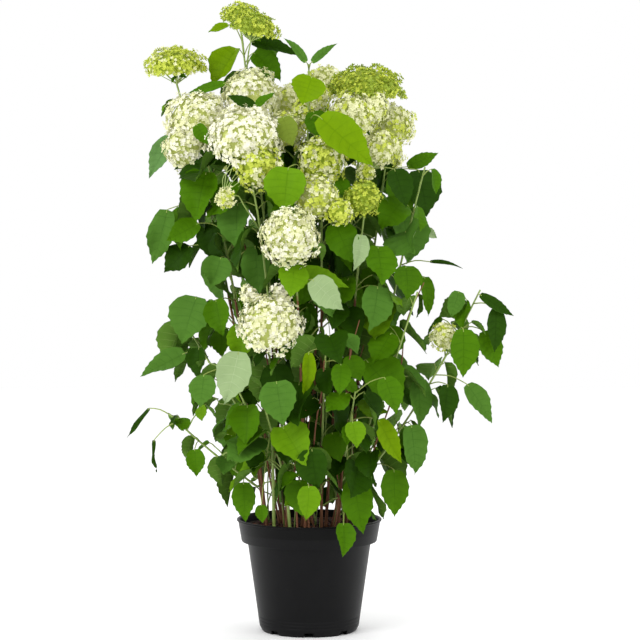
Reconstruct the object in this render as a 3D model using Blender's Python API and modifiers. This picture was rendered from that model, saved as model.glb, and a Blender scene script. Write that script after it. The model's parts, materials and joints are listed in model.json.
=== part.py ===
"""A potted smooth hydrangea: canes rising from a nursery pot, each topped by a mass of twigs,
leaves and flower heads, with leafy side shoots below.

Metres, +Z up. The origin is the centre of the pot's underside; the plant's show side faces -Y.
"""

import math
import random

import bmesh
import bpy
from mathutils import Matrix, Vector
from mathutils.bvhtree import BVHTree

# Pot and compost
pot_height = 0.201
rim_radius = 0.130
collar_radius = 0.1275  # the band under the lip, at its top
collar_foot_radius = 0.1215
collar_foot = 0.160  # height of the band's lower edge
wall_radius = 0.1105  # the wall where it meets the band
base_radius = 0.0895
foot_radius = 0.0840
foot_height = 0.0095  # height of the bevel round the foot
lip_height = 0.0035
wall = 0.0026
round_steps = 32
notch_count = 8
notch_width = 0.024
notch_depth = 0.022
notch_height = 0.0082
notch_taper = 0.65  # width of a notch's top against its foot
soil_level = 0.187
gap = 0.0003  # air between pieces that touch
soil_slack = 0.0006  # extra air between the compost and the sloping wall

# Growth
cane_foot_radius = 0.0036
cane_tip_radius = 0.0027
cane_sides = 6
foot_flare = 1.3
cane_rings = 5
cane_bend = 0.30  # share of its lean that a cane has taken by its middle height
twig_radius = 0.0022
twig_tip_radius = 0.0015
twig_sides = 3
leaf_thickness = 0.020  # share of a blade's length
leaf_width = 0.80  # share of a blade's length
leaf_fold = 0.045
leaf_arch = 0.10
# The blade's rim: share of its length, and of its half width
blade_rim = ((0.12, 0.80), (0.50, 0.98), (1.0, 0.0), (0.50, -0.98), (0.12, -0.80))
petiole_radius = 0.0011
petiole_root_radius = 0.0008
petiole_rise = 38.0  # degrees above level
pair_first = 0.10  # share of the leafy stem at the lowest pair, and at the highest
pair_last = 0.90
crown_pair_last = 0.80  # a crown stem stays bare just below its flower head
stub = 0.006  # straight end of a limb, square to what it meets
head_segments = 9
head_rings = 6
head_cone = 0.26  # share of the width
head_sink = 0.40  # share of the depth from the middle down to the rim
lump_low = -0.07
lump_high = 0.05
clearance = 0.0012
turn_spread = 20.0  # degrees either way of a leaf's own bearing
turn_out = 0.86  # how much of the angle away from straight outward a leaf keeps
droop_range = (20.0, 84.0)
roll_spread = 42.0
petiole_range = (0.30, 0.52)  # share of the blade's length
leaf_size_range = (0.80, 1.26)
top_shrink = 0.22  # how much smaller the highest leaves are
crown_axis = Vector((-0.02, 0.0, 0.0))
# The crown's reach from its axis at each height
crown_reach = (
    (0.20, 0.17), (0.30, 0.24), (0.45, 0.25), (0.60, 0.27), (0.90, 0.28), (1.00, 0.26), (1.14, 0.18),
)
# Open places that go straight through the crown for someone who faces it: x and z of the middle, and radius
stand_point = Vector((0.019, -3.94, 0.716))
sky_gaps = (
    (-0.240, 0.833, 0.010), (-0.256, 0.805, 0.009), (-0.210, 0.713, 0.011), (-0.236, 0.711, 0.011),
    (-0.208, 0.644, 0.010), (-0.149, 0.597, 0.006), (-0.135, 0.545, 0.010), (-0.178, 0.491, 0.007),
    (-0.188, 0.476, 0.007), (-0.139, 0.518, 0.006), (-0.068, 0.503, 0.010), (-0.183, 0.378, 0.014),
    (-0.190, 0.352, 0.011), (-0.165, 0.326, 0.011), (-0.085, 0.251, 0.008), (0.123, 0.279, 0.010),
    (0.146, 0.400, 0.009), (0.168, 0.386, 0.006), (0.170, 0.498, 0.010), (0.188, 0.536, 0.017),
    (0.202, 0.510, 0.014), (0.212, 0.568, 0.009), (0.228, 0.455, 0.007), (0.184, 0.491, 0.008),
    (0.211, 0.693, 0.013), (0.229, 0.743, 0.009), (0.298, 0.572, 0.013), (0.016, 0.551, 0.005),
    (-0.052, 1.102, 0.012), (-0.049, 1.023, 0.009), (-0.149, 1.001, 0.008), (-0.216, 0.973, 0.008),
)
# Other ways to hold a leaf that would touch something: turn, droop and size
second_tries = (
    (0, 0, 1.0), (24, -8, 1.0), (-24, 8, 1.0), (48, 0, 0.92), (-48, 0, 0.92), (0, 22, 0.84), (72, 6, 0.84),
    (-72, 6, 0.84), (0, -20, 0.72), (110, 0, 0.8), (-110, 0, 0.8), (30, 24, 0.68), (-30, 24, 0.68),
)

# Each cane: its foot (x, y), the top of its stem (x, y, z), how much of its length stays bare,
# leaf pairs on the leafy part, leaf length, and the spin of the first pair in degrees
canes = {
    "01": ((-0.062, -0.060), (-0.070, -0.150, 0.575), 0.50, 3, 0.078, 20),
    "02": ((-0.076, -0.020), (-0.193, -0.028, 0.900), 0.34, 7, 0.100, 70),
    "03": ((-0.080, 0.030), (-0.240, 0.044, 0.995), 0.36, 7, 0.095, 10),
    "04": ((-0.046, 0.014), (-0.124, 0.050, 1.092), 0.40, 6, 0.092, 40),
    "05": ((-0.038, -0.032), (-0.102, -0.024, 0.935), 0.42, 5, 0.092, 85),
    "06": ((-0.034, -0.074), (-0.103, -0.105, 0.845), 0.38, 5, 0.096, 30),
    "07": ((-0.006, -0.080), (-0.024, -0.165, 0.685), 0.42, 4, 0.092, 60),
    "08": ((-0.012, -0.014), (0.000, -0.050, 1.010), 0.42, 6, 0.088, 5),
    "09": ((0.022, -0.060), (0.022, -0.085, 0.810), 0.42, 5, 0.092, 50),
    "10": ((0.052, -0.052), (0.102, -0.084, 0.800), 0.38, 5, 0.092, 15),
    "11": ((0.030, -0.014), (0.103, 0.002, 0.960), 0.40, 6, 0.092, 75),
    "12": ((0.066, 0.004), (0.146, 0.022, 0.885), 0.36, 6, 0.094, 35),
    "13": ((0.004, 0.034), (0.028, 0.100, 0.980), 0.40, 6, 0.092, 25),
    "14": ((0.082, -0.026), (0.206, -0.016, 0.830), 0.34, 6, 0.098, 65),
    "15": ((-0.052, 0.056), (-0.145, 0.150, 0.855), 0.36, 6, 0.094, 45),
    "16": ((-0.006, 0.082), (-0.030, 0.195, 0.790), 0.36, 6, 0.096, 80),
    "17": ((0.048, 0.052), (0.125, 0.160, 0.850), 0.36, 6, 0.094, 0),
}

# Each side shoot: the cane it leaves, at what height, its tip, how far it bows up,
# leaf pairs, leaf length and spin
shoots = {
    "low_left": ("02", 0.262, (-0.246, -0.075, 0.395), -0.010, 4, 0.052, 30),
    "far_right": ("14", 0.285, (0.304, -0.030, 0.612), -0.040, 6, 0.078, 20),
    "a": ("01", 0.330, (-0.140, -0.150, 0.480), 0.0, 3, 0.080, 40),
    "b": ("06", 0.290, (-0.080, -0.175, 0.430), 0.0, 3, 0.080, 10),
    "c": ("07", 0.262, (-0.005, -0.165, 0.330), 0.0, 3, 0.080, 80),
    "d": ("10", 0.300, (0.080, -0.155, 0.440), 0.0, 3, 0.082, 30),
    "e": ("10", 0.255, (0.118, -0.098, 0.325), 0.0, 3, 0.088, 60),
    "f": ("12", 0.340, (0.160, 0.055, 0.500), 0.0, 4, 0.085, 0),
    "g": ("12", 0.262, (0.128, 0.080, 0.345), 0.0, 3, 0.085, 80),
    "h": ("17", 0.310, (0.080, 0.150, 0.430), 0.0, 3, 0.085, 75),
    "i": ("16", 0.275, (0.005, 0.150, 0.345), 0.0, 3, 0.085, 20),
    "j": ("15", 0.320, (-0.100, 0.140, 0.450), 0.0, 3, 0.085, 62),
    "k": ("03", 0.270, (-0.140, 0.070, 0.370), 0.0, 3, 0.085, 15),
    "l": ("02", 0.370, (-0.225, 0.000, 0.555), 0.0, 4, 0.085, 55),
    "m": ("09", 0.340, (0.030, -0.170, 0.540), 0.0, 4, 0.085, 25),
    "n": ("14", 0.370, (0.190, -0.090, 0.610), 0.0, 4, 0.090, 70),
}

# Each flower head: the mass that bears it, the share of the stem where its stalk leaves,
# its middle, width, depth, and the bearing and tilt of the way it faces, in degrees
heads = {
    "lime_top": ("04", 1.00, (-0.124, 0.050, 1.112), 0.068, 0.026, 270, 5),
    "lime_tilted": ("04", 0.82, (-0.096, -0.040, 1.083), 0.084, 0.028, 320, 16),
    "lime_left": ("03", 1.00, (-0.241, 0.040, 1.024), 0.108, 0.038, 250, 8),
    "cream_high": ("05", 1.00, (-0.102, -0.018, 0.969), 0.104, 0.054, 265, 30),
    "cream_left": ("02", 1.00, (-0.199, -0.016, 0.931), 0.118, 0.056, 250, 24),
    "cream_side": ("02", 0.80, (-0.226, -0.022, 0.872), 0.088, 0.052, 200, 60),
    "white_front": ("06", 1.00, (-0.113, -0.107, 0.894), 0.132, 0.064, 265, 25),
    "lime_under": ("06", 0.84, (-0.084, -0.138, 0.834), 0.082, 0.046, 280, 60),
    "small_droop": ("06", 0.66, (-0.146, -0.160, 0.772), 0.034, 0.022, 215, 100),
    "cream_low": ("07", 1.00, (-0.032, -0.198, 0.711), 0.100, 0.068, 268, 74),
    "pale_front": ("09", 0.80, (0.015, -0.150, 0.780), 0.076, 0.044, 275, 62),
    "lime_small": ("09", 0.62, (0.055, -0.160, 0.752), 0.048, 0.030, 290, 70),
    "lime_bright": ("10", 0.84, (0.096, -0.128, 0.778), 0.060, 0.038, 285, 55),
    "lime_middle": ("09", 1.00, (0.022, -0.094, 0.848), 0.088, 0.050, 268, 45),
    "small_behind": ("13", 0.80, (-0.040, 0.062, 0.956), 0.082, 0.044, 200, 25),
    "yellow_small": ("08", 0.72, (-0.003, -0.018, 0.930), 0.066, 0.042, 270, 38),
    "cream_core": ("08", 0.78, (0.014, -0.034, 0.962), 0.050, 0.036, 280, 35),
    "shade_left": ("08", 0.60, (-0.040, -0.026, 0.902), 0.070, 0.044, 280, 40),
    "cream_link": ("11", 0.84, (0.117, -0.057, 0.940), 0.052, 0.036, 290, 36),
    "lime_right": ("11", 1.00, (0.103, 0.000, 0.984), 0.134, 0.044, 290, 8),
    "cream_behind": ("13", 1.00, (0.028, 0.104, 0.993), 0.078, 0.040, 90, 12),
    "cream_right": ("12", 1.00, (0.152, 0.018, 0.914), 0.084, 0.046, 300, 32),
    "cream_inner": ("11", 0.84, (0.076, -0.060, 0.926), 0.092, 0.054, 275, 38),
    "cream_edge": ("10", 1.00, (0.127, -0.054, 0.867), 0.060, 0.042, 300, 40),
    "bud_right": ("10", 0.90, (0.100, -0.092, 0.820), 0.030, 0.020, 280, 60),
    "cream_lowest": ("01", 1.00, (-0.066, -0.188, 0.568), 0.108, 0.060, 268, 48),
    "lobe_left": ("01", 0.86, (-0.104, -0.165, 0.612), 0.040, 0.028, 240, 30),
    "lobe_right": ("01", 0.90, (-0.044, -0.168, 0.618), 0.044, 0.030, 290, 30),
    "cream_far": ("far_right", 0.66, (0.238, -0.050, 0.534), 0.048, 0.034, 265, 60),
    "back_left": ("15", 1.00, (-0.150, 0.165, 0.880), 0.110, 0.060, 120, 35),
    "back_middle": ("16", 1.00, (-0.030, 0.215, 0.808), 0.104, 0.066, 92, 55),
    "back_right": ("17", 1.00, (0.132, 0.178, 0.872), 0.100, 0.056, 60, 38),
    "back_low": ("16", 0.60, (0.030, 0.215, 0.680), 0.070, 0.045, 80, 65),
}

# Named leaves on the show side, by the mass that bears them: the blade's start, its tip and its width share
show_leaves = {
    "04": [
        ((-0.132, 0.075, 1.048), (-0.181, 0.045, 0.982), 0.62),
        ((-0.103, 0.010, 1.054), (-0.017, -0.010, 1.038), 0.30),
        ((-0.100, 0.025, 1.036), (-0.046, 0.015, 0.992), 0.62),
        ((-0.142, -0.040, 1.080), (-0.178, -0.050, 1.068), 0.42),
    ],
    "08": [
        ((-0.005, -0.090, 1.010), (-0.037, -0.100, 1.056), 0.30),
        ((0.005, -0.090, 1.010), (0.047, -0.100, 1.045), 0.30),
        ((0.005, -0.090, 0.985), (-0.010, -0.115, 0.940), 1.12),
        ((0.018, -0.122, 0.914), (0.112, -0.150, 0.834), 0.50),
        ((-0.035, -0.160, 0.825), (-0.045, -0.175, 0.750), 0.94),
        ((-0.035, 0.020, 0.880), (-0.025, 0.000, 0.825), 0.90),
        ((-0.045, -0.100, 0.915), (-0.030, -0.120, 0.865), 0.70),
    ],
    "03": [
        ((-0.250, 0.060, 0.890), (-0.290, 0.030, 0.815), 0.42),
        ((-0.225, 0.040, 0.760), (-0.245, 0.010, 0.690), 0.70),
        ((-0.255, 0.020, 0.755), (-0.280, 0.000, 0.660), 0.50),
        ((-0.215, 0.030, 0.690), (-0.260, 0.010, 0.645), 0.75),
    ],
    "02": [
        ((-0.180, -0.070, 0.820), (-0.205, -0.100, 0.740), 0.80),
        ((-0.195, -0.050, 0.730), (-0.250, -0.070, 0.700), 0.65),
        ((-0.155, -0.070, 0.670), (-0.170, -0.090, 0.620), 0.95),
        ((-0.165, -0.050, 0.595), (-0.155, -0.080, 0.535), 0.70),
    ],
    "06": [
        ((-0.125, -0.070, 0.765), (-0.135, -0.100, 0.690), 0.76),
        ((-0.095, -0.060, 0.690), (-0.090, -0.080, 0.605), 0.60),
    ],
    "l": [
        ((-0.200, -0.030, 0.600), (-0.230, -0.060, 0.525), 0.92),
        ((-0.220, -0.040, 0.500), (-0.300, -0.060, 0.465), 0.50),
        ((-0.195, -0.050, 0.510), (-0.200, -0.070, 0.455), 0.65),
    ],
    "a": [
        ((-0.120, -0.170, 0.510), (-0.140, -0.200, 0.425), 0.65),
        ((-0.180, -0.170, 0.470), (-0.185, -0.200, 0.420), 0.80),
    ],
    "b": [
        ((-0.055, -0.190, 0.460), (-0.045, -0.220, 0.390), 0.82),
        ((-0.020, -0.140, 0.360), (-0.030, -0.160, 0.320), 0.70),
    ],
    "14": [
        ((0.214, -0.030, 0.662), (0.272, -0.040, 0.662), 0.16),
        ((0.170, -0.060, 0.655), (0.180, -0.080, 0.600), 0.95),
        ((0.205, -0.020, 0.635), (0.220, -0.040, 0.570), 0.40),
    ],
    "12": [
        ((0.170, 0.010, 0.745), (0.180, -0.020, 0.660), 0.85),
        ((0.196, 0.020, 0.826), (0.218, 0.000, 0.748), 0.86),
        ((0.176, 0.030, 0.832), (0.230, 0.020, 0.858), 0.44),
    ],
    "10": [
        ((0.120, -0.100, 0.620), (0.115, -0.130, 0.545), 0.75),
        ((0.120, -0.110, 0.690), (0.130, -0.140, 0.625), 0.80),
        ((0.150, -0.060, 0.825), (0.175, -0.080, 0.760), 0.70),
        ((0.090, -0.130, 0.710), (0.085, -0.150, 0.650), 0.48),
    ],
    "09": [((0.045, -0.120, 0.730), (0.075, -0.150, 0.665), 0.72)],
    "n": [
        ((0.140, -0.040, 0.550), (0.135, -0.060, 0.485), 0.90),
        ((0.195, -0.040, 0.455), (0.200, -0.060, 0.370), 0.55),
    ],
    "07": [
        ((-0.025, -0.140, 0.645), (0.070, -0.155, 0.625), 0.40),
        ((0.006, -0.190, 0.634), (0.058, -0.210, 0.582), 0.62),
    ],
    "01": [((-0.115, -0.130, 0.555), (-0.120, -0.150, 0.490), 0.70)],
    "far_right": [
        ((0.270, -0.090, 0.545), (0.275, -0.110, 0.465), 0.65),
        ((0.310, -0.050, 0.540), (0.335, -0.070, 0.480), 0.65),
        ((0.330, -0.060, 0.580), (0.330, -0.080, 0.505), 0.48),
        ((0.300, -0.070, 0.605), (0.360, -0.080, 0.570), 0.30),
        ((0.265, -0.050, 0.610), (0.250, -0.070, 0.565), 0.60),
        ((0.245, -0.060, 0.445), (0.240, -0.080, 0.380), 0.60),
        ((0.280, -0.040, 0.445), (0.330, -0.060, 0.385), 0.50),
        ((0.180, -0.070, 0.375), (0.195, -0.090, 0.290), 0.58),
        ((0.150, -0.060, 0.295), (0.155, -0.090, 0.220), 0.64),
    ],
    "d": [
        ((0.120, -0.130, 0.390), (0.160, -0.145, 0.315), 0.40),
        ((0.080, -0.110, 0.285), (0.090, -0.140, 0.195), 0.58),
        ((0.075, -0.180, 0.390), (0.085, -0.200, 0.350), 0.80),
        ((0.130, -0.160, 0.465), (0.155, -0.180, 0.405), 0.70),
    ],
    "e": [((0.060, -0.140, 0.210), (0.065, -0.170, 0.160), 0.60)],
    "c": [((0.000, -0.180, 0.280), (0.000, -0.200, 0.225), 0.70)],
    "m": [
        ((0.000, -0.190, 0.510), (0.000, -0.200, 0.430), 0.30),
        ((0.055, -0.180, 0.490), (0.055, -0.200, 0.440), 0.65),
    ],
    "low_left": [
        ((-0.281, -0.075, 0.405), (-0.322, -0.085, 0.354), 0.15),
        ((-0.272, -0.085, 0.350), (-0.274, -0.095, 0.294), 0.15),
        ((-0.115, -0.080, 0.275), (-0.115, -0.100, 0.210), 0.62),
        ((-0.200, -0.100, 0.335), (-0.195, -0.120, 0.290), 0.68),
    ],
}


def quadratic(path, share):
    start, bend, end = path
    return start.lerp(bend, share).lerp(bend.lerp(end, share), share)


def heading_at(path, share):
    start, bend, end = path
    return (bend - start).lerp(end - bend, share).normalized()


def cane_path(foot, top):
    start = Vector((*foot, soil_level + gap))
    end = Vector(top)
    bend = start.lerp(end, cane_bend)
    bend.z = 0.5 * (start.z + end.z)
    return start, bend, end


def level_vector(bearing):
    return Vector((math.cos(math.radians(bearing)), math.sin(math.radians(bearing)), 0.0))


def facing(bearing, tilt):
    lean = math.radians(tilt)
    return level_vector(bearing) * math.sin(lean) + Vector((0.0, 0.0, math.cos(lean)))


def outward(point):
    return Vector((point.x - crown_axis.x, point.y - crown_axis.y, 0.0)).normalized()


def square_frame(forward, hint):
    """Side and normal of a frame whose first axis is forward and whose normal leans towards hint."""
    normal = hint - forward * hint.dot(forward)
    if normal.length < 1e-4:
        normal = forward.orthogonal()
    normal.normalize()
    return normal.cross(forward), normal


def taper(start, end, count):
    return [start + (end - start) * step / (count - 1) for step in range(count)]


def along_points(points, share):
    """The point at a share of a polyline's length."""
    lengths = [(b - a).length for a, b in zip(points, points[1:])]
    left = share * sum(lengths)
    for start, end, length in zip(points, points[1:], lengths):
        if left <= length:
            return start.lerp(end, left / length)
        left -= length
    return points[-1].copy()


def share_at_height(path, height):
    low, high = 0.0, 1.0
    for _ in range(30):
        share = (low + high) / 2
        low, high = (share, high) if quadratic(path, share).z < height else (low, share)
    return share


def leaf_solid(leaf, grow=0.0, root_share=0.0):
    """A three-sided petiole that opens into a folded, arching blade: a loft between unlike sections."""
    forward = leaf["along"]
    side, normal = square_frame(forward, leaf["normal"])
    length = leaf["length"]
    half_width = 0.5 * length * leaf["width"] + grow
    half_thick = 0.5 * length * leaf_thickness + 0.6 * grow
    root = leaf["root"].lerp(leaf["base"], root_share)
    stalk = (leaf["base"] - root).normalized()
    mitre = (stalk + forward).normalized()
    points = []
    for centre, way, radius in ((root, stalk, petiole_root_radius), (leaf["base"], mitre, petiole_radius)):
        across, up = square_frame(way, normal)
        radius += grow
        across, up = across * radius, up * radius
        points += [centre + 0.5 * up + across, centre + 0.5 * up - across, centre - up]
    for along, wide in blade_rim:
        lift = leaf_fold * abs(wide) - leaf_arch * along * along
        middle = leaf["base"] + forward * (length + grow) * along
        points.append(middle + side * half_width * wide + normal * lift * length)
    middle = leaf["base"] + forward * 0.42 * length - normal * leaf_arch * length * 0.12
    points += [middle + normal * half_thick, middle - normal * half_thick]
    upper = [3, 6, 7, 8, 9, 10, 4]
    lower = upper + [5]
    faces = [(0, 1, 2), (0, 3, 4), (0, 4, 1), (1, 4, 5), (1, 5, 2), (2, 5, 3), (2, 3, 0)]
    faces += [(upper[i], upper[(i + 1) % 7], 11) for i in range(7)]
    faces += [(lower[(i + 1) % 8], lower[i], 12) for i in range(8)]
    return points, faces


def crosses_itself(tree, faces):
    """True where two faces that share no corner cut each other."""
    return any(not set(faces[first]) & set(faces[second]) for first, second in tree.overlap(tree))


def solid_mesh(points, faces):
    """The points and faces as a bmesh whose faces point outwards."""
    shape = bmesh.new()
    corners = [shape.verts.new(point) for point in points]
    for face in faces:
        shape.faces.new([corners[i] for i in face])
    bmesh.ops.recalc_face_normals(shape, faces=shape.faces)
    return shape


def limb(points, radii, sides):
    """A tapering limb through the points, flat at both ends."""
    shape = bmesh.new()
    normal = Vector((0.0, -1.0, 0.2))
    rings = []
    for index, (point, radius) in enumerate(zip(points, radii)):
        before = points[max(index - 1, 0)]
        after = points[min(index + 1, len(points) - 1)]
        forward = (after - before).normalized()
        side, normal = square_frame(forward, normal)
        place = Matrix((side, normal, forward)).transposed().to_4x4()
        place.translation = point
        rings.append(bmesh.ops.create_circle(shape, segments=sides, radius=radius, matrix=place)["verts"])
    for lower, upper in zip(rings, rings[1:]):
        for i in range(sides):
            shape.faces.new((lower[i - 1], lower[i], upper[i], upper[i - 1]))
    shape.faces.new(rings[0])
    shape.faces.new(rings[-1])
    bmesh.ops.recalc_face_normals(shape, faces=shape.faces)
    return shape


def flower_head(middle, width, depth, bearing, tilt, seed):
    """A lumpy dome of florets over the shallow cone of stalks that carries it."""
    draw = random.Random(seed)
    shape = bmesh.new()
    bmesh.ops.create_uvsphere(shape, u_segments=head_segments, v_segments=head_rings, radius=1.0)
    lower_half = [corner for corner in shape.verts if corner.co.z < -0.01]
    bmesh.ops.delete(shape, geom=lower_half, context="VERTS")
    for corner in shape.verts:
        lump = 1.0 + draw.uniform(lump_low, lump_high)
        corner.co = Vector((0.5 * width * corner.co.x, 0.5 * width * corner.co.y, depth * corner.co.z)) * lump
    rim = bmesh.ops.extrude_edge_only(shape, edges=[edge for edge in shape.edges if edge.is_boundary])
    drawn_in = [item for item in rim["geom"] if isinstance(item, bmesh.types.BMVert)]
    bmesh.ops.pointmerge(shape, verts=drawn_in, merge_co=(0.0, 0.0, -head_cone * width))
    bmesh.ops.triangulate(shape, faces=shape.faces)
    up = facing(bearing, tilt)
    side, normal = square_frame(up, Vector((0.0, 0.0, 1.0)) if tilt > 5 else Vector((0.0, -1.0, 0.0)))
    place = Matrix((side, normal, up)).transposed().to_4x4()
    place.translation = middle - up * (depth * head_sink)
    shape.transform(place)
    bmesh.ops.recalc_face_normals(shape, faces=shape.faces)
    return shape


def cane_radius(share, bare):
    return cane_foot_radius + (cane_tip_radius - cane_foot_radius) * share / bare


def cane_limb(foot, top, bare):
    """Points and radii of a cane from its flat cut, flared foot to where its mass begins."""
    path = cane_path(foot, top)
    shares = taper(0.0, bare, cane_rings)
    points = [quadratic(path, share) for share in shares]
    radii = [cane_radius(share, bare) for share in shares]
    end = heading_at(path, bare)
    points[0:1] = [points[0], points[0] + Vector((0.0, 0.0, stub))]
    radii[0:1] = [foot_flare * radii[0], radii[0]]
    points[-1:] = [points[-1] - end * stub, points[-1]]
    radii[-1:] = [radii[-1], radii[-1]]
    return points, radii


def head_anchor(middle, width, depth, bearing, tilt):
    """Where a stalk ends, well inside its flower head, and the point below that it rises to."""
    up = facing(bearing, tilt)
    rim = Vector(middle) - up * depth * head_sink
    return rim - up * 0.3 * head_cone * width, rim - up * (head_cone * width + 2 * stub)


def crown_stem(foot, top, bare, end_heads):
    """The leafy stem that carries on from a cane, into the head at its end where it has one."""
    path = cane_path(foot, top)
    start = heading_at(path, bare)
    first = quadratic(path, bare)
    points = [first + start * gap, first + start * (gap + stub)]
    points += [quadratic(path, share) for share in taper(bare, 1.0, cane_rings)[1:]]
    for head in end_heads:
        inside, below = head_anchor(*head[2:])
        points[-1:] = [below.lerp(points[-1], 0.5), inside]
    return points, taper(cane_tip_radius, twig_tip_radius, len(points))


def shoot_stem(cane, height, tip, bow):
    """A side shoot: square off the cane's side, then out and up to its tip."""
    foot, top, bare = canes[cane][:3]
    path = cane_path(foot, top)
    share = share_at_height(path, height)
    axis = heading_at(path, share)
    away = Vector(tip) - quadratic(path, share)
    away.z = 0.0
    away = (away - axis * away.dot(axis)).normalized()
    start = quadratic(path, share) + away * (cane_radius(share, bare) + gap)
    leave = start + away * stub
    bend = leave.lerp(Vector(tip), 0.55)
    bend.z += bow
    curve = (leave, bend, Vector(tip))
    points = [start] + [quadratic(curve, step) for step in taper(0.0, 1.0, cane_rings)]
    return points, taper(twig_radius, twig_tip_radius, len(points))


def stalk_limb(stem, head):
    """A side stalk from the stem up into its flower head."""
    root = along_points(stem, head[1])
    inside, below = head_anchor(*head[2:])
    bend = root.lerp(below, 0.6)
    bend.z = max(bend.z, root.z + 0.4 * (below - root).length)
    curve = (root, bend, below)
    points = [quadratic(curve, step) for step in taper(0.0, 1.0, 4)] + [inside]
    return points, taper(twig_tip_radius, petiole_radius, len(points))


def solid_body(owner, shape):
    """What a new leaf is tested against: a shape, who owns it, and the ball round it."""
    low = Vector([min(corner.co[axis] for corner in shape.verts) for axis in range(3)])
    high = Vector([max(corner.co[axis] for corner in shape.verts) for axis in range(3)])
    tree = BVHTree.FromBMesh(shape)
    shape.free()
    return {"owner": owner, "tree": tree, "middle": (low + high) / 2, "reach": (high - low).length / 2}


def pot_guard():
    """The room a leaf keeps out of: the pot and the air inside its rim."""
    shape = bmesh.new()
    place = Matrix.Translation((0.0, 0.0, 0.5 * pot_height))
    radius = rim_radius + clearance
    bmesh.ops.create_cone(shape, cap_ends=True, segments=round_steps, radius1=radius, radius2=radius,
                          depth=pot_height + 2 * clearance, matrix=place)
    return shape


def crown_radius(height):
    for (low, inner), (high, outer) in zip(crown_reach, crown_reach[1:]):
        if height <= high or high == crown_reach[-1][0]:
            return inner + (outer - inner) * (height - low) / (high - low)


def inside_space(points):
    """True while every point keeps over the compost and within the crown's own outline."""
    for point in points:
        out = math.hypot(point.x - crown_axis.x, point.y - crown_axis.y)
        if point.z < soil_level or out > crown_radius(point.z):
            return False
    return True


def shuts_gap(blade):
    """True where a leaf would hang across one of the crown's open places."""
    for x, z, radius in sky_gaps:
        middle = Vector((x, 0.0, z))
        round_it = [middle + Matrix.Rotation(math.radians(90 * quarter), 3, "Y") @ Vector((radius, 0.0, 0.0))
                    for quarter in range(4)]
        if any(blade.ray_cast(stand_point, point - stand_point)[0] for point in (middle, *round_it)):
            return True
    return False


def leaf_fits(mass, leaf, bodies, free, by_rule):
    points, faces = leaf_solid(leaf, clearance)
    if not free and not inside_space(points):
        return False
    middle = (leaf["base"] + leaf["tip"]) / 2
    reach = leaf["length"] / 2 + 0.04 + (leaf["base"] - leaf["root"]).length
    whole = BVHTree.FromPolygons(points, faces)
    if crosses_itself(whole, faces) or (by_rule and shuts_gap(whole)):
        return False
    blade = BVHTree.FromPolygons(leaf_solid(leaf, clearance, 0.35)[0], faces)
    for other in bodies:
        if (other["middle"] - middle).length > reach + other["reach"]:
            continue
        if (blade if other["owner"] == mass else whole).overlap(other["tree"]):
            return False
    return True


def rule_leaf(root, bearing, length, droop, roll, stalk):
    """A leaf that leaves the stem on a bearing, rises on its stalk and droops from there."""
    level = level_vector(bearing)
    rise = math.radians(petiole_rise)
    base = root + (level * math.cos(rise) + Vector((0.0, 0.0, math.sin(rise)))) * stalk
    lean = math.radians(droop)
    along = level * math.cos(lean) - Vector((0.0, 0.0, math.sin(lean)))
    normal = level * math.sin(lean) + Vector((0.0, 0.0, math.cos(lean)))
    normal = normal + outward(base) * 0.2 + along.cross(normal) * math.tan(math.radians(roll))
    return {"root": root, "base": base, "tip": base + along * length, "along": along, "normal": normal,
            "length": length, "width": leaf_width}


def show_leaf(stem, base, tip, width):
    """A leaf whose blade lies where its row says, on a petiole from the nearest part of the stem."""
    base, tip = Vector(base), Vector(tip)
    below = base - Vector((0.0, 0.0, 0.015))
    roots = [along_points(stem, share) for share in taper(0.02, 0.98, 40)]
    root = min(roots, key=lambda point: (point - below).length)
    normal = outward(base) * 0.4 + Vector((0.0, -1.0, 0.5))
    return {"root": root, "base": base, "tip": tip, "along": (tip - base).normalized(), "normal": normal,
            "length": (tip - base).length, "width": width}


def grow_pairs(mass, stem, pairs, size, spin, bodies, free):
    """Opposite pairs of leaves up a stem, each pair turned a quarter from the last."""
    draw = random.Random("leaves " + mass)
    last = crown_pair_last if mass.startswith("crown") else pair_last
    grown = []
    for pair in range(pairs):
        share = pair_first + (last - pair_first) * pair / max(pairs - 1, 1)
        root = along_points(stem, share)
        away = outward(root)
        towards = math.degrees(math.atan2(away.y, away.x))
        for half in range(2):
            bearing = spin + 90 * pair + 180 * half + draw.uniform(-turn_spread, turn_spread)
            bearing = towards + ((bearing - towards + 180) % 360 - 180) * turn_out
            length = size * draw.uniform(*leaf_size_range) * (1.0 - top_shrink * share)
            stalk = length * draw.uniform(*petiole_range)
            droop = draw.uniform(*droop_range)
            roll = draw.uniform(-roll_spread, roll_spread)
            for turn, dip, scale in second_tries:
                leaf = rule_leaf(root, bearing + turn, length * scale, droop + dip, roll, stalk * scale)
                if leaf_fits(mass, leaf, bodies, free, True):
                    grown.append(leaf)
                    bodies.append(solid_body(mass, solid_mesh(*leaf_solid(leaf, 0.0, 0.35))))
                    break
    return grown


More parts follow.
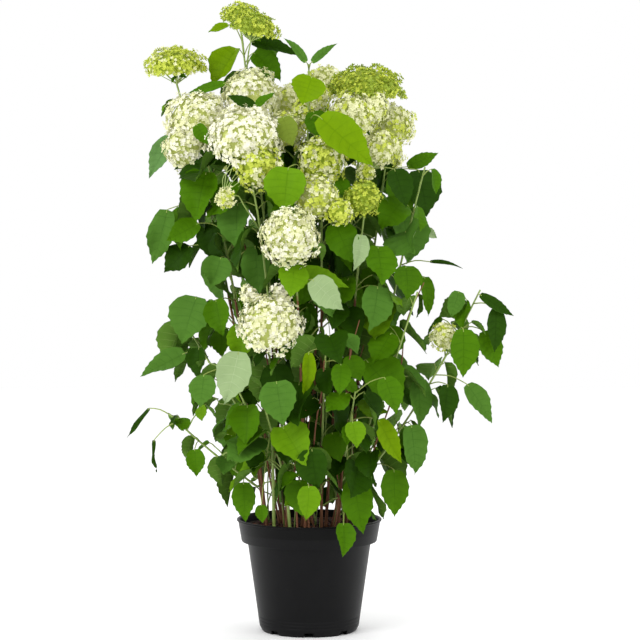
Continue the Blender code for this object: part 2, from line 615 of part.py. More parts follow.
def plan_plant():
    """Every mass with its stem, stalks, heads and leaves, grown in one order so that none touches another."""
    masses = {}
    bodies = [solid_body("pot", pot_guard())]
    for name, (foot, top, bare, pairs, size, spin) in canes.items():
        ends = [head for head in heads.values() if head[0] == name and head[1] == 1.0]
        stem = crown_stem(foot, top, bare, ends)
        masses["crown_" + name] = {"key": name, "stem": stem, "pairs": (pairs, size, spin)}
        bodies.append(solid_body("cane_" + name, limb(*cane_limb(foot, top, bare), cane_sides)))
    for name, (cane, height, tip, bow, pairs, size, spin) in shoots.items():
        stem = shoot_stem(cane, height, tip, bow)
        masses["shoot_" + name] = {"key": name, "stem": stem, "pairs": (pairs, size, spin)}
    for mass, plan in masses.items():
        plan.update(heads=[], stalks=[], leaves=[])
        bodies.append(solid_body(mass, limb(*plan["stem"], twig_sides)))
        for index, head in enumerate(heads.values()):
            if head[0] != plan["key"]:
                continue
            plan["heads"].append((Vector(head[2]), *head[3:], index))
            bodies.append(solid_body(mass, flower_head(*plan["heads"][-1])))
            if head[1] < 1.0:
                plan["stalks"].append(stalk_limb(plan["stem"][0], head))
                bodies.append(solid_body(mass, limb(*plan["stalks"][-1], twig_sides)))
    for key, rows in show_leaves.items():
        mass = ("crown_" if key in canes else "shoot_") + key
        for base, tip, width in rows:
            leaf = show_leaf(masses[mass]["stem"][0], base, tip, width)
            if leaf_fits(mass, leaf, bodies, True, False):
                masses[mass]["leaves"].append(leaf)
                bodies.append(solid_body(mass, solid_mesh(*leaf_solid(leaf, 0.0, 0.35))))
            else:
                print("named leaf skipped", key, base)
    for mass, plan in masses.items():
        free = plan["key"] in ("low_left", "far_right")
        plan["leaves"] += grow_pairs(mass, plan["stem"][0], *plan["pairs"], bodies, free)
    return masses


def material(name, colour, roughness):
    made = bpy.data.materials.new(name)
    made.use_nodes = True
    shader = made.node_tree.nodes["Principled BSDF"]
    shader.inputs["Base Color"].default_value = (*colour, 1.0)
    shader.inputs["Roughness"].default_value = roughness
    return made


def add_object(name, shape, look, home):
    mesh = bpy.data.meshes.new(name)
    shape.to_mesh(mesh)
    shape.free()
    made = bpy.data.objects.new(name, mesh)
    mesh.materials.append(look)
    home.objects.link(made)
    return made


def drop_scraps(mesh):
    """Keeps the largest body of a fused mass; a sealed pocket or a loose scrap goes."""
    shape = bmesh.new()
    shape.from_mesh(mesh)
    left = set(shape.verts)
    groups = []
    while left:
        group = queue = [left.pop()]
        for corner in queue:
            for edge in corner.link_edges:
                there = edge.other_vert(corner)
                if there in left:
                    left.remove(there)
                    queue.append(there)
        groups.append(group)
    for group in sorted(groups, key=len)[:-1]:
        bmesh.ops.delete(shape, geom=group, context="VERTS")
    shape.to_mesh(mesh)
    shape.free()


def fuse(name, shapes, look, home):
    """One solid from a stem and everything that grows on it."""
    parts = bpy.data.collections.new(name + " parts")
    bpy.context.scene.collection.children.link(parts)
    stem = add_object(name, shapes[0], look, home)
    for shape in shapes[1:]:
        add_object(name + " part", shape, look, parts)
    union = stem.modifiers.new("Fuse", "BOOLEAN")
    union.operation = "UNION"
    union.operand_type = "COLLECTION"
    union.collection = parts
    union.solver = "MANIFOLD"
    bpy.context.view_layer.update()
    fused = bpy.data.meshes.new_from_object(stem.evaluated_get(bpy.context.evaluated_depsgraph_get()))
    stem.modifiers.remove(union)
    stem.data = fused
    drop_scraps(fused)
    for item in list(parts.objects):
        bpy.data.objects.remove(item, do_unlink=True)
    bpy.data.collections.remove(parts)


def turned(name, profile, look, home):
    """A shape of revolution from a profile that starts and ends on the axis."""
    shape = bmesh.new()
    corners = [shape.verts.new((radius, 0.0, height)) for radius, height in profile]
    for first, second in zip(corners, corners[1:]):
        shape.edges.new((first, second))
    made = add_object(name, shape, look, home)
    screw = made.modifiers.new("Turn", "SCREW")
    screw.steps = screw.render_steps = round_steps
    screw.use_merge_vertices = True
    screw.merge_threshold = 0.00001
    return made


def between(first, second, height):
    """The profile point at a height on the line between two others."""
    share = (height - first[1]) / (second[1] - first[1])
    return first[0] + (second[0] - first[0]) * share, height


# The inside of the pot's wall: floor corner, foot and top of the wall, foot of the band and its top
inner_wall = (
    (foot_radius - 0.8 * wall, wall), (base_radius - wall, foot_height + 0.5 * wall),
    (wall_radius - wall, collar_foot - 0.001), (collar_foot_radius - wall, collar_foot + 0.0045),
    (collar_radius - wall, pot_height - lip_height - 0.001),
)


def make_pot(look, home):
    profile = [
        (0.0, wall), *inner_wall, (rim_radius - wall - 0.0012, pot_height), (rim_radius, pot_height),
        (rim_radius, pot_height - lip_height), (collar_radius, pot_height - lip_height - 0.001),
        (collar_foot_radius, collar_foot + 0.001), (wall_radius, collar_foot - 0.002),
        (base_radius, foot_height), (foot_radius, 0.0), (0.0, 0.0),
    ]
    pot = turned("pot", profile, look, home)
    cutters = bpy.data.collections.new("cutters")
    bpy.context.scene.collection.children.link(cutters)
    for index in range(notch_count):
        shape = bmesh.new()
        size = Matrix.Diagonal((notch_width, notch_depth, 2 * notch_height, 1.0))
        bmesh.ops.create_cube(shape, matrix=size)
        for corner in shape.verts:
            if corner.co.z > 0.0:
                corner.co.x *= notch_taper
        turn = Matrix.Rotation(math.tau * index / notch_count, 4, "Z")
        shape.transform(turn @ Matrix.Translation((0.0, -base_radius, 0.0)))
        notch = add_object("notch " + str(index), shape, look, cutters)
        notch.hide_render = True
        notch.display_type = "WIRE"
    cut = pot.modifiers.new("Drain notches", "BOOLEAN")
    cut.operation = "DIFFERENCE"
    cut.operand_type = "COLLECTION"
    cut.collection = cutters


def make_soil(look, home):
    floor_corner, wall_foot, wall_top, band_foot, band_top = inner_wall
    corners = (between(band_foot, band_top, soil_level - soil_slack), band_foot, wall_top, wall_foot)
    side = [(radius - gap - soil_slack, height + soil_slack) for radius, height in corners]
    floor = wall + gap
    side.append((floor_corner[0] - gap - soil_slack, floor))
    turned("soil", [(0.0, soil_level), *side, (0.0, floor)], look, home)


def main():
    for item in list(bpy.data.objects):
        bpy.data.objects.remove(item, do_unlink=True)
    home = bpy.data.collections.new("potted hydrangea")
    bpy.context.scene.collection.children.link(home)
    make_pot(material("black pot plastic", (0.012, 0.012, 0.013), 0.42), home)
    make_soil(material("bark compost", (0.030, 0.012, 0.006), 0.95), home)
    bark = material("cane bark", (0.160, 0.075, 0.030), 0.80)
    green = material("leaves and flower heads", (0.090, 0.280, 0.040), 0.50)
    for name, (foot, top, bare, *_) in canes.items():
        add_object("cane_" + name, limb(*cane_limb(foot, top, bare), cane_sides), bark, home)
    for mass, plan in plan_plant().items():
        shapes = [limb(*plan["stem"], twig_sides)]
        shapes += [limb(*stalk, twig_sides) for stalk in plan["stalks"]]
        shapes += [flower_head(*head) for head in plan["heads"]]
        shapes += [solid_mesh(*leaf_solid(leaf)) for leaf in plan["leaves"]]
        fuse(mass, shapes, green, home)
        print(mass, len(plan["leaves"]), "leaves")


main()
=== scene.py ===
# A potted smooth hydrangea: canes from a nursery pot, leafy stems and lace-like flower heads.
# It grows by the same rule as the solids it is fitted to, in metres, +Z up, show side towards -Y.

import json
import math
import random

import bmesh
import bpy
import numpy as np
from mathutils import Matrix, Vector, noise
from mathutils.bvhtree import BVHTree

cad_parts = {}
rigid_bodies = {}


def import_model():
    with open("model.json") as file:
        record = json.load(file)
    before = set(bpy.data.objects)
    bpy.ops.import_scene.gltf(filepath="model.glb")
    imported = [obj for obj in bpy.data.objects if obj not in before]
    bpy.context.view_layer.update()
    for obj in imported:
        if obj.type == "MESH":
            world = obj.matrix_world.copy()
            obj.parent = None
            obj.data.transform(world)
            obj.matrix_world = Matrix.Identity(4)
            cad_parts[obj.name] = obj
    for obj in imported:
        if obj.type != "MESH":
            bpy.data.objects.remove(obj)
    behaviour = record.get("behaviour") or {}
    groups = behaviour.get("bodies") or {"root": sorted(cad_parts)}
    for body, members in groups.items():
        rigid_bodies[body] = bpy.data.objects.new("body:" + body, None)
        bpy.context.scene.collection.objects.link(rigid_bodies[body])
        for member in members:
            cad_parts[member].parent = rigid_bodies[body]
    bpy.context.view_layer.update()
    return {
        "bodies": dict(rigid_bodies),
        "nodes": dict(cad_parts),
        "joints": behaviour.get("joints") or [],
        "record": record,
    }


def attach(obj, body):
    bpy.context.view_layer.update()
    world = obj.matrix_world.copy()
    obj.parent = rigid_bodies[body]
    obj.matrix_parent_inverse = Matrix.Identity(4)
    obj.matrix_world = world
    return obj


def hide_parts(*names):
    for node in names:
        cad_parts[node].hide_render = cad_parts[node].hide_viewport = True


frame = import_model()
caneNodes = sorted(name for name in frame["nodes"] if name.startswith("cane_"))
massNodes = sorted(name for name in frame["nodes"] if name.startswith(("crown_", "shoot_")))
print("frame loaded:", len(caneNodes), "canes and", len(massNodes), "masses of foliage")


# Colours and materials

evenly = (1.0, 1.0, 1.0)
grain = {"detail": 2.0, "distance": 0.0004}
weldSize = 1e-6  # points nearer than this are one


def tint(code):
    levels = [int(code[i:i + 2], 16) / 255 for i in (0, 2, 4)]
    linear = [level / 12.92 if level < 0.04045 else ((level + 0.055) / 1.055) ** 2.4 for level in levels]
    return (*linear, 1.0)


class Paint:  # one material and its nodes
    def __init__(self, name):
        self.material = bpy.data.materials.new(name)
        self.material.use_nodes = True
        self.tree = self.material.node_tree
        self.shader = self.tree.nodes["Principled BSDF"]
        self.place = self.node("ShaderNodeTexCoord", {}, [], "Object")

    # Any node: its settings, then its sockets by position or name; gives the named output, or the first
    def node(self, kind, settings, values, output=0):
        made = self.tree.nodes.new(kind)
        for key, value in settings.items():
            setattr(made, key, value)
        items = values.items() if isinstance(values, dict) else enumerate(values)
        for key, value in items:
            self.feed(made.inputs[key], value)
        return made.outputs[output]

    def feed(self, socket, value):
        if isinstance(value, bpy.types.NodeSocket):
            self.tree.links.new(value, socket)
        else:
            socket.default_value = value

    def noise(self, scale, detail=3.0, stretch=evenly):
        place = self.node("ShaderNodeMapping", {}, {"Vector": self.place, "Scale": stretch})
        return self.node("ShaderNodeTexNoise", {}, {"Vector": place, "Scale": scale, "Detail": detail})

    def blend(self, share, first, second):
        return self.node("ShaderNodeMix", {"data_type": "RGBA"}, {0: share, 6: first, 7: second}, 2)

    def finish(self, **values):
        for key, value in values.items():
            self.feed(self.shader.inputs[key.replace("_", " ")], value)
        return self.material

    def bump(self, scale, strength, stretch=evenly):
        height = self.noise(scale, grain["detail"], stretch)
        values = {"Strength": strength, "Distance": grain["distance"], "Height": height}
        self.feed(self.shader.inputs["Normal"], self.node("ShaderNodeBump", {}, values))


# A finish that wanders gently between two colours, with a fine grain in its surface
def mottled(name, first, second, roughness, scale=60.0, fine=900.0, depth=0.25, stretch=evenly, **more):
    paint = Paint(name)
    share = paint.noise(scale, 3.0, stretch)
    paint.bump(fine, depth, stretch)
    return paint.finish(Base_Color=paint.blend(share, tint(first), tint(second)), Roughness=roughness, **more)


# Pieces

def addPiece(name, mesh, look, nodes=()):
    piece = bpy.data.objects.new(name, mesh)
    bpy.context.scene.collection.objects.link(piece)
    mesh.materials.clear()
    mesh.materials.append(look)
    mesh.shade_smooth()
    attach(piece, "root")
    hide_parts(*nodes)
    print("piece", name, sum(len(face.vertices) - 2 for face in mesh.polygons), "triangles")
    return piece


def meshFrom(shape, name):
    mesh = bpy.data.meshes.new(name)
    shape.to_mesh(mesh)
    shape.free()
    return mesh


def meshOf(name, points, faces):
    mesh = bpy.data.meshes.new(name)
    mesh.from_pydata(np.asarray(points).reshape(-1, 3), [], np.asarray(faces))
    mesh.update()
    return mesh


# The corners and triangles of a small shape that is repeated many times
def pattern(shape):
    bmesh.ops.triangulate(shape, faces=shape.faces)
    shape.verts.index_update()
    points = np.array([corner.co[:] for corner in shape.verts])
    faces = np.array([[corner.index for corner in face.verts] for face in shape.faces])
    shape.free()
    return points, faces


# One joined mesh from copies of a small shape: each copy has a place, three axes and a size
def stamped(name, shape, places, axes, sizes):
    points, faces = shape
    turned = np.einsum("nij,pj->npi", np.asarray(axes), points) * np.asarray(sizes)[:, None, None]
    turned += np.asarray(places)[:, None, :]
    steps = np.arange(len(turned))[:, None, None] * len(points)
    return meshOf(name, turned, (faces[None] + steps).reshape(-1, 3))


# One joined mesh of round tapering limbs; each limb is its points and its radii
def limbMesh(name, limbs, sideStep):
    curve = bpy.data.curves.new(name, "CURVE")
    curve.dimensions = "3D"
    curve.bevel_depth = 1.0
    curve.bevel_resolution = sideStep
    curve.use_fill_caps = True
    curve.resolution_u = 1
    for points, radii in limbs:
        spline = curve.splines.new("POLY")
        spline.points.add(len(points) - 1)
        for corner, point, radius in zip(spline.points, points, radii):
            corner.co = (*point, 1.0)
            corner.radius = radius
    holder = bpy.data.objects.new(name, curve)
    bpy.context.scene.collection.objects.link(holder)
    bpy.context.view_layer.update()
    mesh = bpy.data.meshes.new_from_object(holder.evaluated_get(bpy.context.evaluated_depsgraph_get()))
    bpy.data.objects.remove(holder)
    bpy.data.curves.remove(curve)
    shape = bmesh.new()
    shape.from_mesh(mesh)
    bmesh.ops.remove_doubles(shape, verts=shape.verts, dist=weldSize)
    bmesh.ops.recalc_face_normals(shape, faces=shape.faces)
    shape.to_mesh(mesh)
    shape.free()
    return mesh


# A smooth run of points through a few
def smoothRun(points, spacing):
    run = []
    ends = [points[0] * 2 - points[1], *points, points[-1] * 2 - points[-2]]
    for before, first, second, after in zip(ends, ends[1:], ends[2:], ends[3:]):
        steps = max(1, round((second - first).length / spacing))
        slope = second - before
        bend = 2 * before - 5 * first + 4 * second - after
        swing = 3 * first - before - 3 * second + after
        for step in range(steps):
            t = step / steps
            run.append(0.5 * (2 * first + slope * t + bend * t * t + swing * t ** 3))
    return run + [points[-1].copy()]


# How the plant grows

potSize = {
    "height": 0.201, "rimRadius": 0.130, "bandRadius": 0.1275, "bandFootRadius": 0.1215, "bandFoot": 0.160,
    "wallRadius": 0.1105, "baseRadius": 0.0895, "footRadius": 0.0840, "footHeight": 0.0095,
    "lipHeight": 0.0035, "wall": 0.0026, "soilLevel": 0.187, "gap": 0.0003, "steps": 32,
}
caneRule = {
    "footRadius": 0.0036, "tipRadius": 0.0027, "sides": 6, "footFlare": 1.3, "rings": 5, "bend": 0.30,
    "stub": 0.006, "twigRadius": 0.0022, "twigTipRadius": 0.0015, "twigSides": 3, "shootBend": 0.55,
    "stalkBend": 0.6, "stalkRise": 0.4,
}
leafRule = {
    "thickness": 0.020, "width": 0.80, "fold": 0.045, "arch": 0.10,
    "rim": ((0.12, 0.80), (0.50, 0.98), (1.0, 0.0), (0.50, -0.98), (0.12, -0.80)),
    "thickAt": 0.42, "thickSink": 0.12, "thickGrow": 0.6, "rootShare": 0.35, "near": 0.04,
    "petioleRadius": 0.0011, "petioleRootRadius": 0.0008, "petioleRise": 38.0, "firstPair": 0.10,
    "lastPair": 0.90, "crownLastPair": 0.80, "clearance": 0.0012, "turnSpread": 20.0, "turnOut": 0.86,
    "droop": (20.0, 84.0), "rollSpread": 42.0, "petiole": (0.30, 0.52), "size": (0.80, 1.26),
    "topShrink": 0.22, "outLean": 0.2,
    "tries": (
        (0, 0, 1.0), (24, -8, 1.0), (-24, 8, 1.0), (48, 0, 0.92), (-48, 0, 0.92), (0, 22, 0.84),
        (72, 6, 0.84), (-72, 6, 0.84), (0, -20, 0.72), (110, 0, 0.8), (-110, 0, 0.8), (30, 24, 0.68),
        (-30, 24, 0.68),
    ),
}
showRule = {"rootDrop": 0.015, "rootShares": (0.02, 0.98, 40), "outLean": 0.4, "hint": (0.0, -1.0, 0.5)}
headRule = {
    "segments": 9, "rings": 6, "cone": 0.26, "sink": 0.40, "lumps": (-0.07, 0.05), "level": 5, "anchor": 0.3,
}
crownSpace = {
    "axis": Vector((-0.02, 0.0, 0.0)),
    "reach": (  # height and radius
        (0.20, 0.17), (0.30, 0.24), (0.45, 0.25), (0.60, 0.27), (0.90, 0.28), (1.00, 0.26), (1.14, 0.18),
    ),
    "free": ("low_left", "far_right"),  # the shoots that reach past it
    "standPoint": Vector((0.019, -3.94, 0.716)),
    "skyGaps": (  # open places straight through the crown: x and z of the middle, and radius
        (-0.240, 0.833, 0.010), (-0.256, 0.805, 0.009), (-0.210, 0.713, 0.011), (-0.236, 0.711, 0.011),
        (-0.208, 0.644, 0.010), (-0.149, 0.597, 0.006), (-0.135, 0.545, 0.010), (-0.178, 0.491, 0.007),
        (-0.188, 0.476, 0.007), (-0.139, 0.518, 0.006), (-0.068, 0.503, 0.010), (-0.183, 0.378, 0.014),
        (-0.190, 0.352, 0.011), (-0.165, 0.326, 0.011), (-0.085, 0.251, 0.008), (0.123, 0.279, 0.010),
        (0.146, 0.400, 0.009), (0.168, 0.386, 0.006), (0.170, 0.498, 0.010), (0.188, 0.536, 0.017),
        (0.202, 0.510, 0.014), (0.212, 0.568, 0.009), (0.228, 0.455, 0.007), (0.184, 0.491, 0.008),
        (0.211, 0.693, 0.013), (0.229, 0.743, 0.009), (0.298, 0.572, 0.013), (0.016, 0.551, 0.005),
        (-0.052, 1.102, 0.012), (-0.049, 1.023, 0.009), (-0.149, 1.001, 0.008), (-0.216, 0.973, 0.008),
    ),
}


# Each cane: its foot (x, y), the top of its stem (x, y, z), how much of its length stays bare,
# leaf pairs on the leafy part, leaf length, and the spin of the first pair in degrees
canes = {
    "01": ((-0.062, -0.060), (-0.070, -0.150, 0.575), 0.50, 3, 0.078, 20),
    "02": ((-0.076, -0.020), (-0.193, -0.028, 0.900), 0.34, 7, 0.100, 70),
    "03": ((-0.080, 0.030), (-0.240, 0.044, 0.995), 0.36, 7, 0.095, 10),
    "04": ((-0.046, 0.014), (-0.124, 0.050, 1.092), 0.40, 6, 0.092, 40),
    "05": ((-0.038, -0.032), (-0.102, -0.024, 0.935), 0.42, 5, 0.092, 85),
    "06": ((-0.034, -0.074), (-0.103, -0.105, 0.845), 0.38, 5, 0.096, 30),
    "07": ((-0.006, -0.080), (-0.024, -0.165, 0.685), 0.42, 4, 0.092, 60),
    "08": ((-0.012, -0.014), (0.000, -0.050, 1.010), 0.42, 6, 0.088, 5),
    "09": ((0.022, -0.060), (0.022, -0.085, 0.810), 0.42, 5, 0.092, 50),
    "10": ((0.052, -0.052), (0.102, -0.084, 0.800), 0.38, 5, 0.092, 15),
    "11": ((0.030, -0.014), (0.103, 0.002, 0.960), 0.40, 6, 0.092, 75),
    "12": ((0.066, 0.004), (0.146, 0.022, 0.885), 0.36, 6, 0.094, 35),
    "13": ((0.004, 0.034), (0.028, 0.100, 0.980), 0.40, 6, 0.092, 25),
    "14": ((0.082, -0.026), (0.206, -0.016, 0.830), 0.34, 6, 0.098, 65),
    "15": ((-0.052, 0.056), (-0.145, 0.150, 0.855), 0.36, 6, 0.094, 45),
    "16": ((-0.006, 0.082), (-0.030, 0.195, 0.790), 0.36, 6, 0.096, 80),
    "17": ((0.048, 0.052), (0.125, 0.160, 0.850), 0.36, 6, 0.094, 0),
}

# Each side shoot: the cane it leaves, at what height, its tip, how far it bows up,
# leaf pairs, leaf length and spin
shoots = {
    "low_left": ("02", 0.262, (-0.246, -0.075, 0.395), -0.010, 4, 0.052, 30),
    "far_right": ("14", 0.285, (0.304, -0.030, 0.612), -0.040, 6, 0.078, 20),
    "a": ("01", 0.330, (-0.140, -0.150, 0.480), 0.0, 3, 0.080, 40),
    "b": ("06", 0.290, (-0.080, -0.175, 0.430), 0.0, 3, 0.080, 10),
    "c": ("07", 0.262, (-0.005, -0.165, 0.330), 0.0, 3, 0.080, 80),
    "d": ("10", 0.300, (0.080, -0.155, 0.440), 0.0, 3, 0.082, 30),
    "e": ("10", 0.255, (0.118, -0.098, 0.325), 0.0, 3, 0.088, 60),
    "f": ("12", 0.340, (0.160, 0.055, 0.500), 0.0, 4, 0.085, 0),
    "g": ("12", 0.262, (0.128, 0.080, 0.345), 0.0, 3, 0.085, 80),
    "h": ("17", 0.310, (0.080, 0.150, 0.430), 0.0, 3, 0.085, 75),
    "i": ("16", 0.275, (0.005, 0.150, 0.345), 0.0, 3, 0.085, 20),
    "j": ("15", 0.320, (-0.100, 0.140, 0.450), 0.0, 3, 0.085, 62),
    "k": ("03", 0.270, (-0.140, 0.070, 0.370), 0.0, 3, 0.085, 15),
    "l": ("02", 0.370, (-0.225, 0.000, 0.555), 0.0, 4, 0.085, 55),
    "m": ("09", 0.340, (0.030, -0.170, 0.540), 0.0, 4, 0.085, 25),
    "n": ("14", 0.370, (0.190, -0.090, 0.610), 0.0, 4, 0.090, 70),
}

# Each flower head: the mass that bears it, the share of the stem where its stalk leaves,
# its middle, width, depth, and the bearing and tilt of the way it faces, in degrees
heads = {
    "lime_top": ("04", 1.00, (-0.124, 0.050, 1.112), 0.068, 0.026, 270, 5),
    "lime_tilted": ("04", 0.82, (-0.096, -0.040, 1.083), 0.084, 0.028, 320, 16),
    "lime_left": ("03", 1.00, (-0.241, 0.040, 1.024), 0.108, 0.038, 250, 8),
    "cream_high": ("05", 1.00, (-0.102, -0.018, 0.969), 0.104, 0.054, 265, 30),
    "cream_left": ("02", 1.00, (-0.199, -0.016, 0.931), 0.118, 0.056, 250, 24),
    "cream_side": ("02", 0.80, (-0.226, -0.022, 0.872), 0.088, 0.052, 200, 60),
    "white_front": ("06", 1.00, (-0.113, -0.107, 0.894), 0.132, 0.064, 265, 25),
    "lime_under": ("06", 0.84, (-0.084, -0.138, 0.834), 0.082, 0.046, 280, 60),
    "small_droop": ("06", 0.66, (-0.146, -0.160, 0.772), 0.034, 0.022, 215, 100),
    "cream_low": ("07", 1.00, (-0.032, -0.198, 0.711), 0.100, 0.068, 268, 74),
    "pale_front": ("09", 0.80, (0.015, -0.150, 0.780), 0.076, 0.044, 275, 62),
    "lime_small": ("09", 0.62, (0.055, -0.160, 0.752), 0.048, 0.030, 290, 70),
    "lime_bright": ("10", 0.84, (0.096, -0.128, 0.778), 0.060, 0.038, 285, 55),
    "lime_middle": ("09", 1.00, (0.022, -0.094, 0.848), 0.088, 0.050, 268, 45),
    "small_behind": ("13", 0.80, (-0.040, 0.062, 0.956), 0.082, 0.044, 200, 25),
    "yellow_small": ("08", 0.72, (-0.003, -0.018, 0.930), 0.066, 0.042, 270, 38),
    "cream_core": ("08", 0.78, (0.014, -0.034, 0.962), 0.050, 0.036, 280, 35),
    "shade_left": ("08", 0.60, (-0.040, -0.026, 0.902), 0.070, 0.044, 280, 40),
    "cream_link": ("11", 0.84, (0.117, -0.057, 0.940), 0.052, 0.036, 290, 36),
    "lime_right": ("11", 1.00, (0.103, 0.000, 0.984), 0.134, 0.044, 290, 8),
    "cream_behind": ("13", 1.00, (0.028, 0.104, 0.993), 0.078, 0.040, 90, 12),
    "cream_right": ("12", 1.00, (0.152, 0.018, 0.914), 0.084, 0.046, 300, 32),
    "cream_inner": ("11", 0.84, (0.076, -0.060, 0.926), 0.092, 0.054, 275, 38),
    "cream_edge": ("10", 1.00, (0.127, -0.054, 0.867), 0.060, 0.042, 300, 40),
    "bud_right": ("10", 0.90, (0.100, -0.092, 0.820), 0.030, 0.020, 280, 60),
    "cream_lowest": ("01", 1.00, (-0.066, -0.188, 0.568), 0.108, 0.060, 268, 48),
    "lobe_left": ("01", 0.86, (-0.104, -0.165, 0.612), 0.040, 0.028, 240, 30),
    "lobe_right": ("01", 0.90, (-0.044, -0.168, 0.618), 0.044, 0.030, 290, 30),
    "cream_far": ("far_right", 0.66, (0.238, -0.050, 0.534), 0.048, 0.034, 265, 60),
    "back_left": ("15", 1.00, (-0.150, 0.165, 0.880), 0.110, 0.060, 120, 35),
    "back_middle": ("16", 1.00, (-0.030, 0.215, 0.808), 0.104, 0.066, 92, 55),
    "back_right": ("17", 1.00, (0.132, 0.178, 0.872), 0.100, 0.056, 60, 38),
    "back_low": ("16", 0.60, (0.030, 0.215, 0.680), 0.070, 0.045, 80, 65),
}

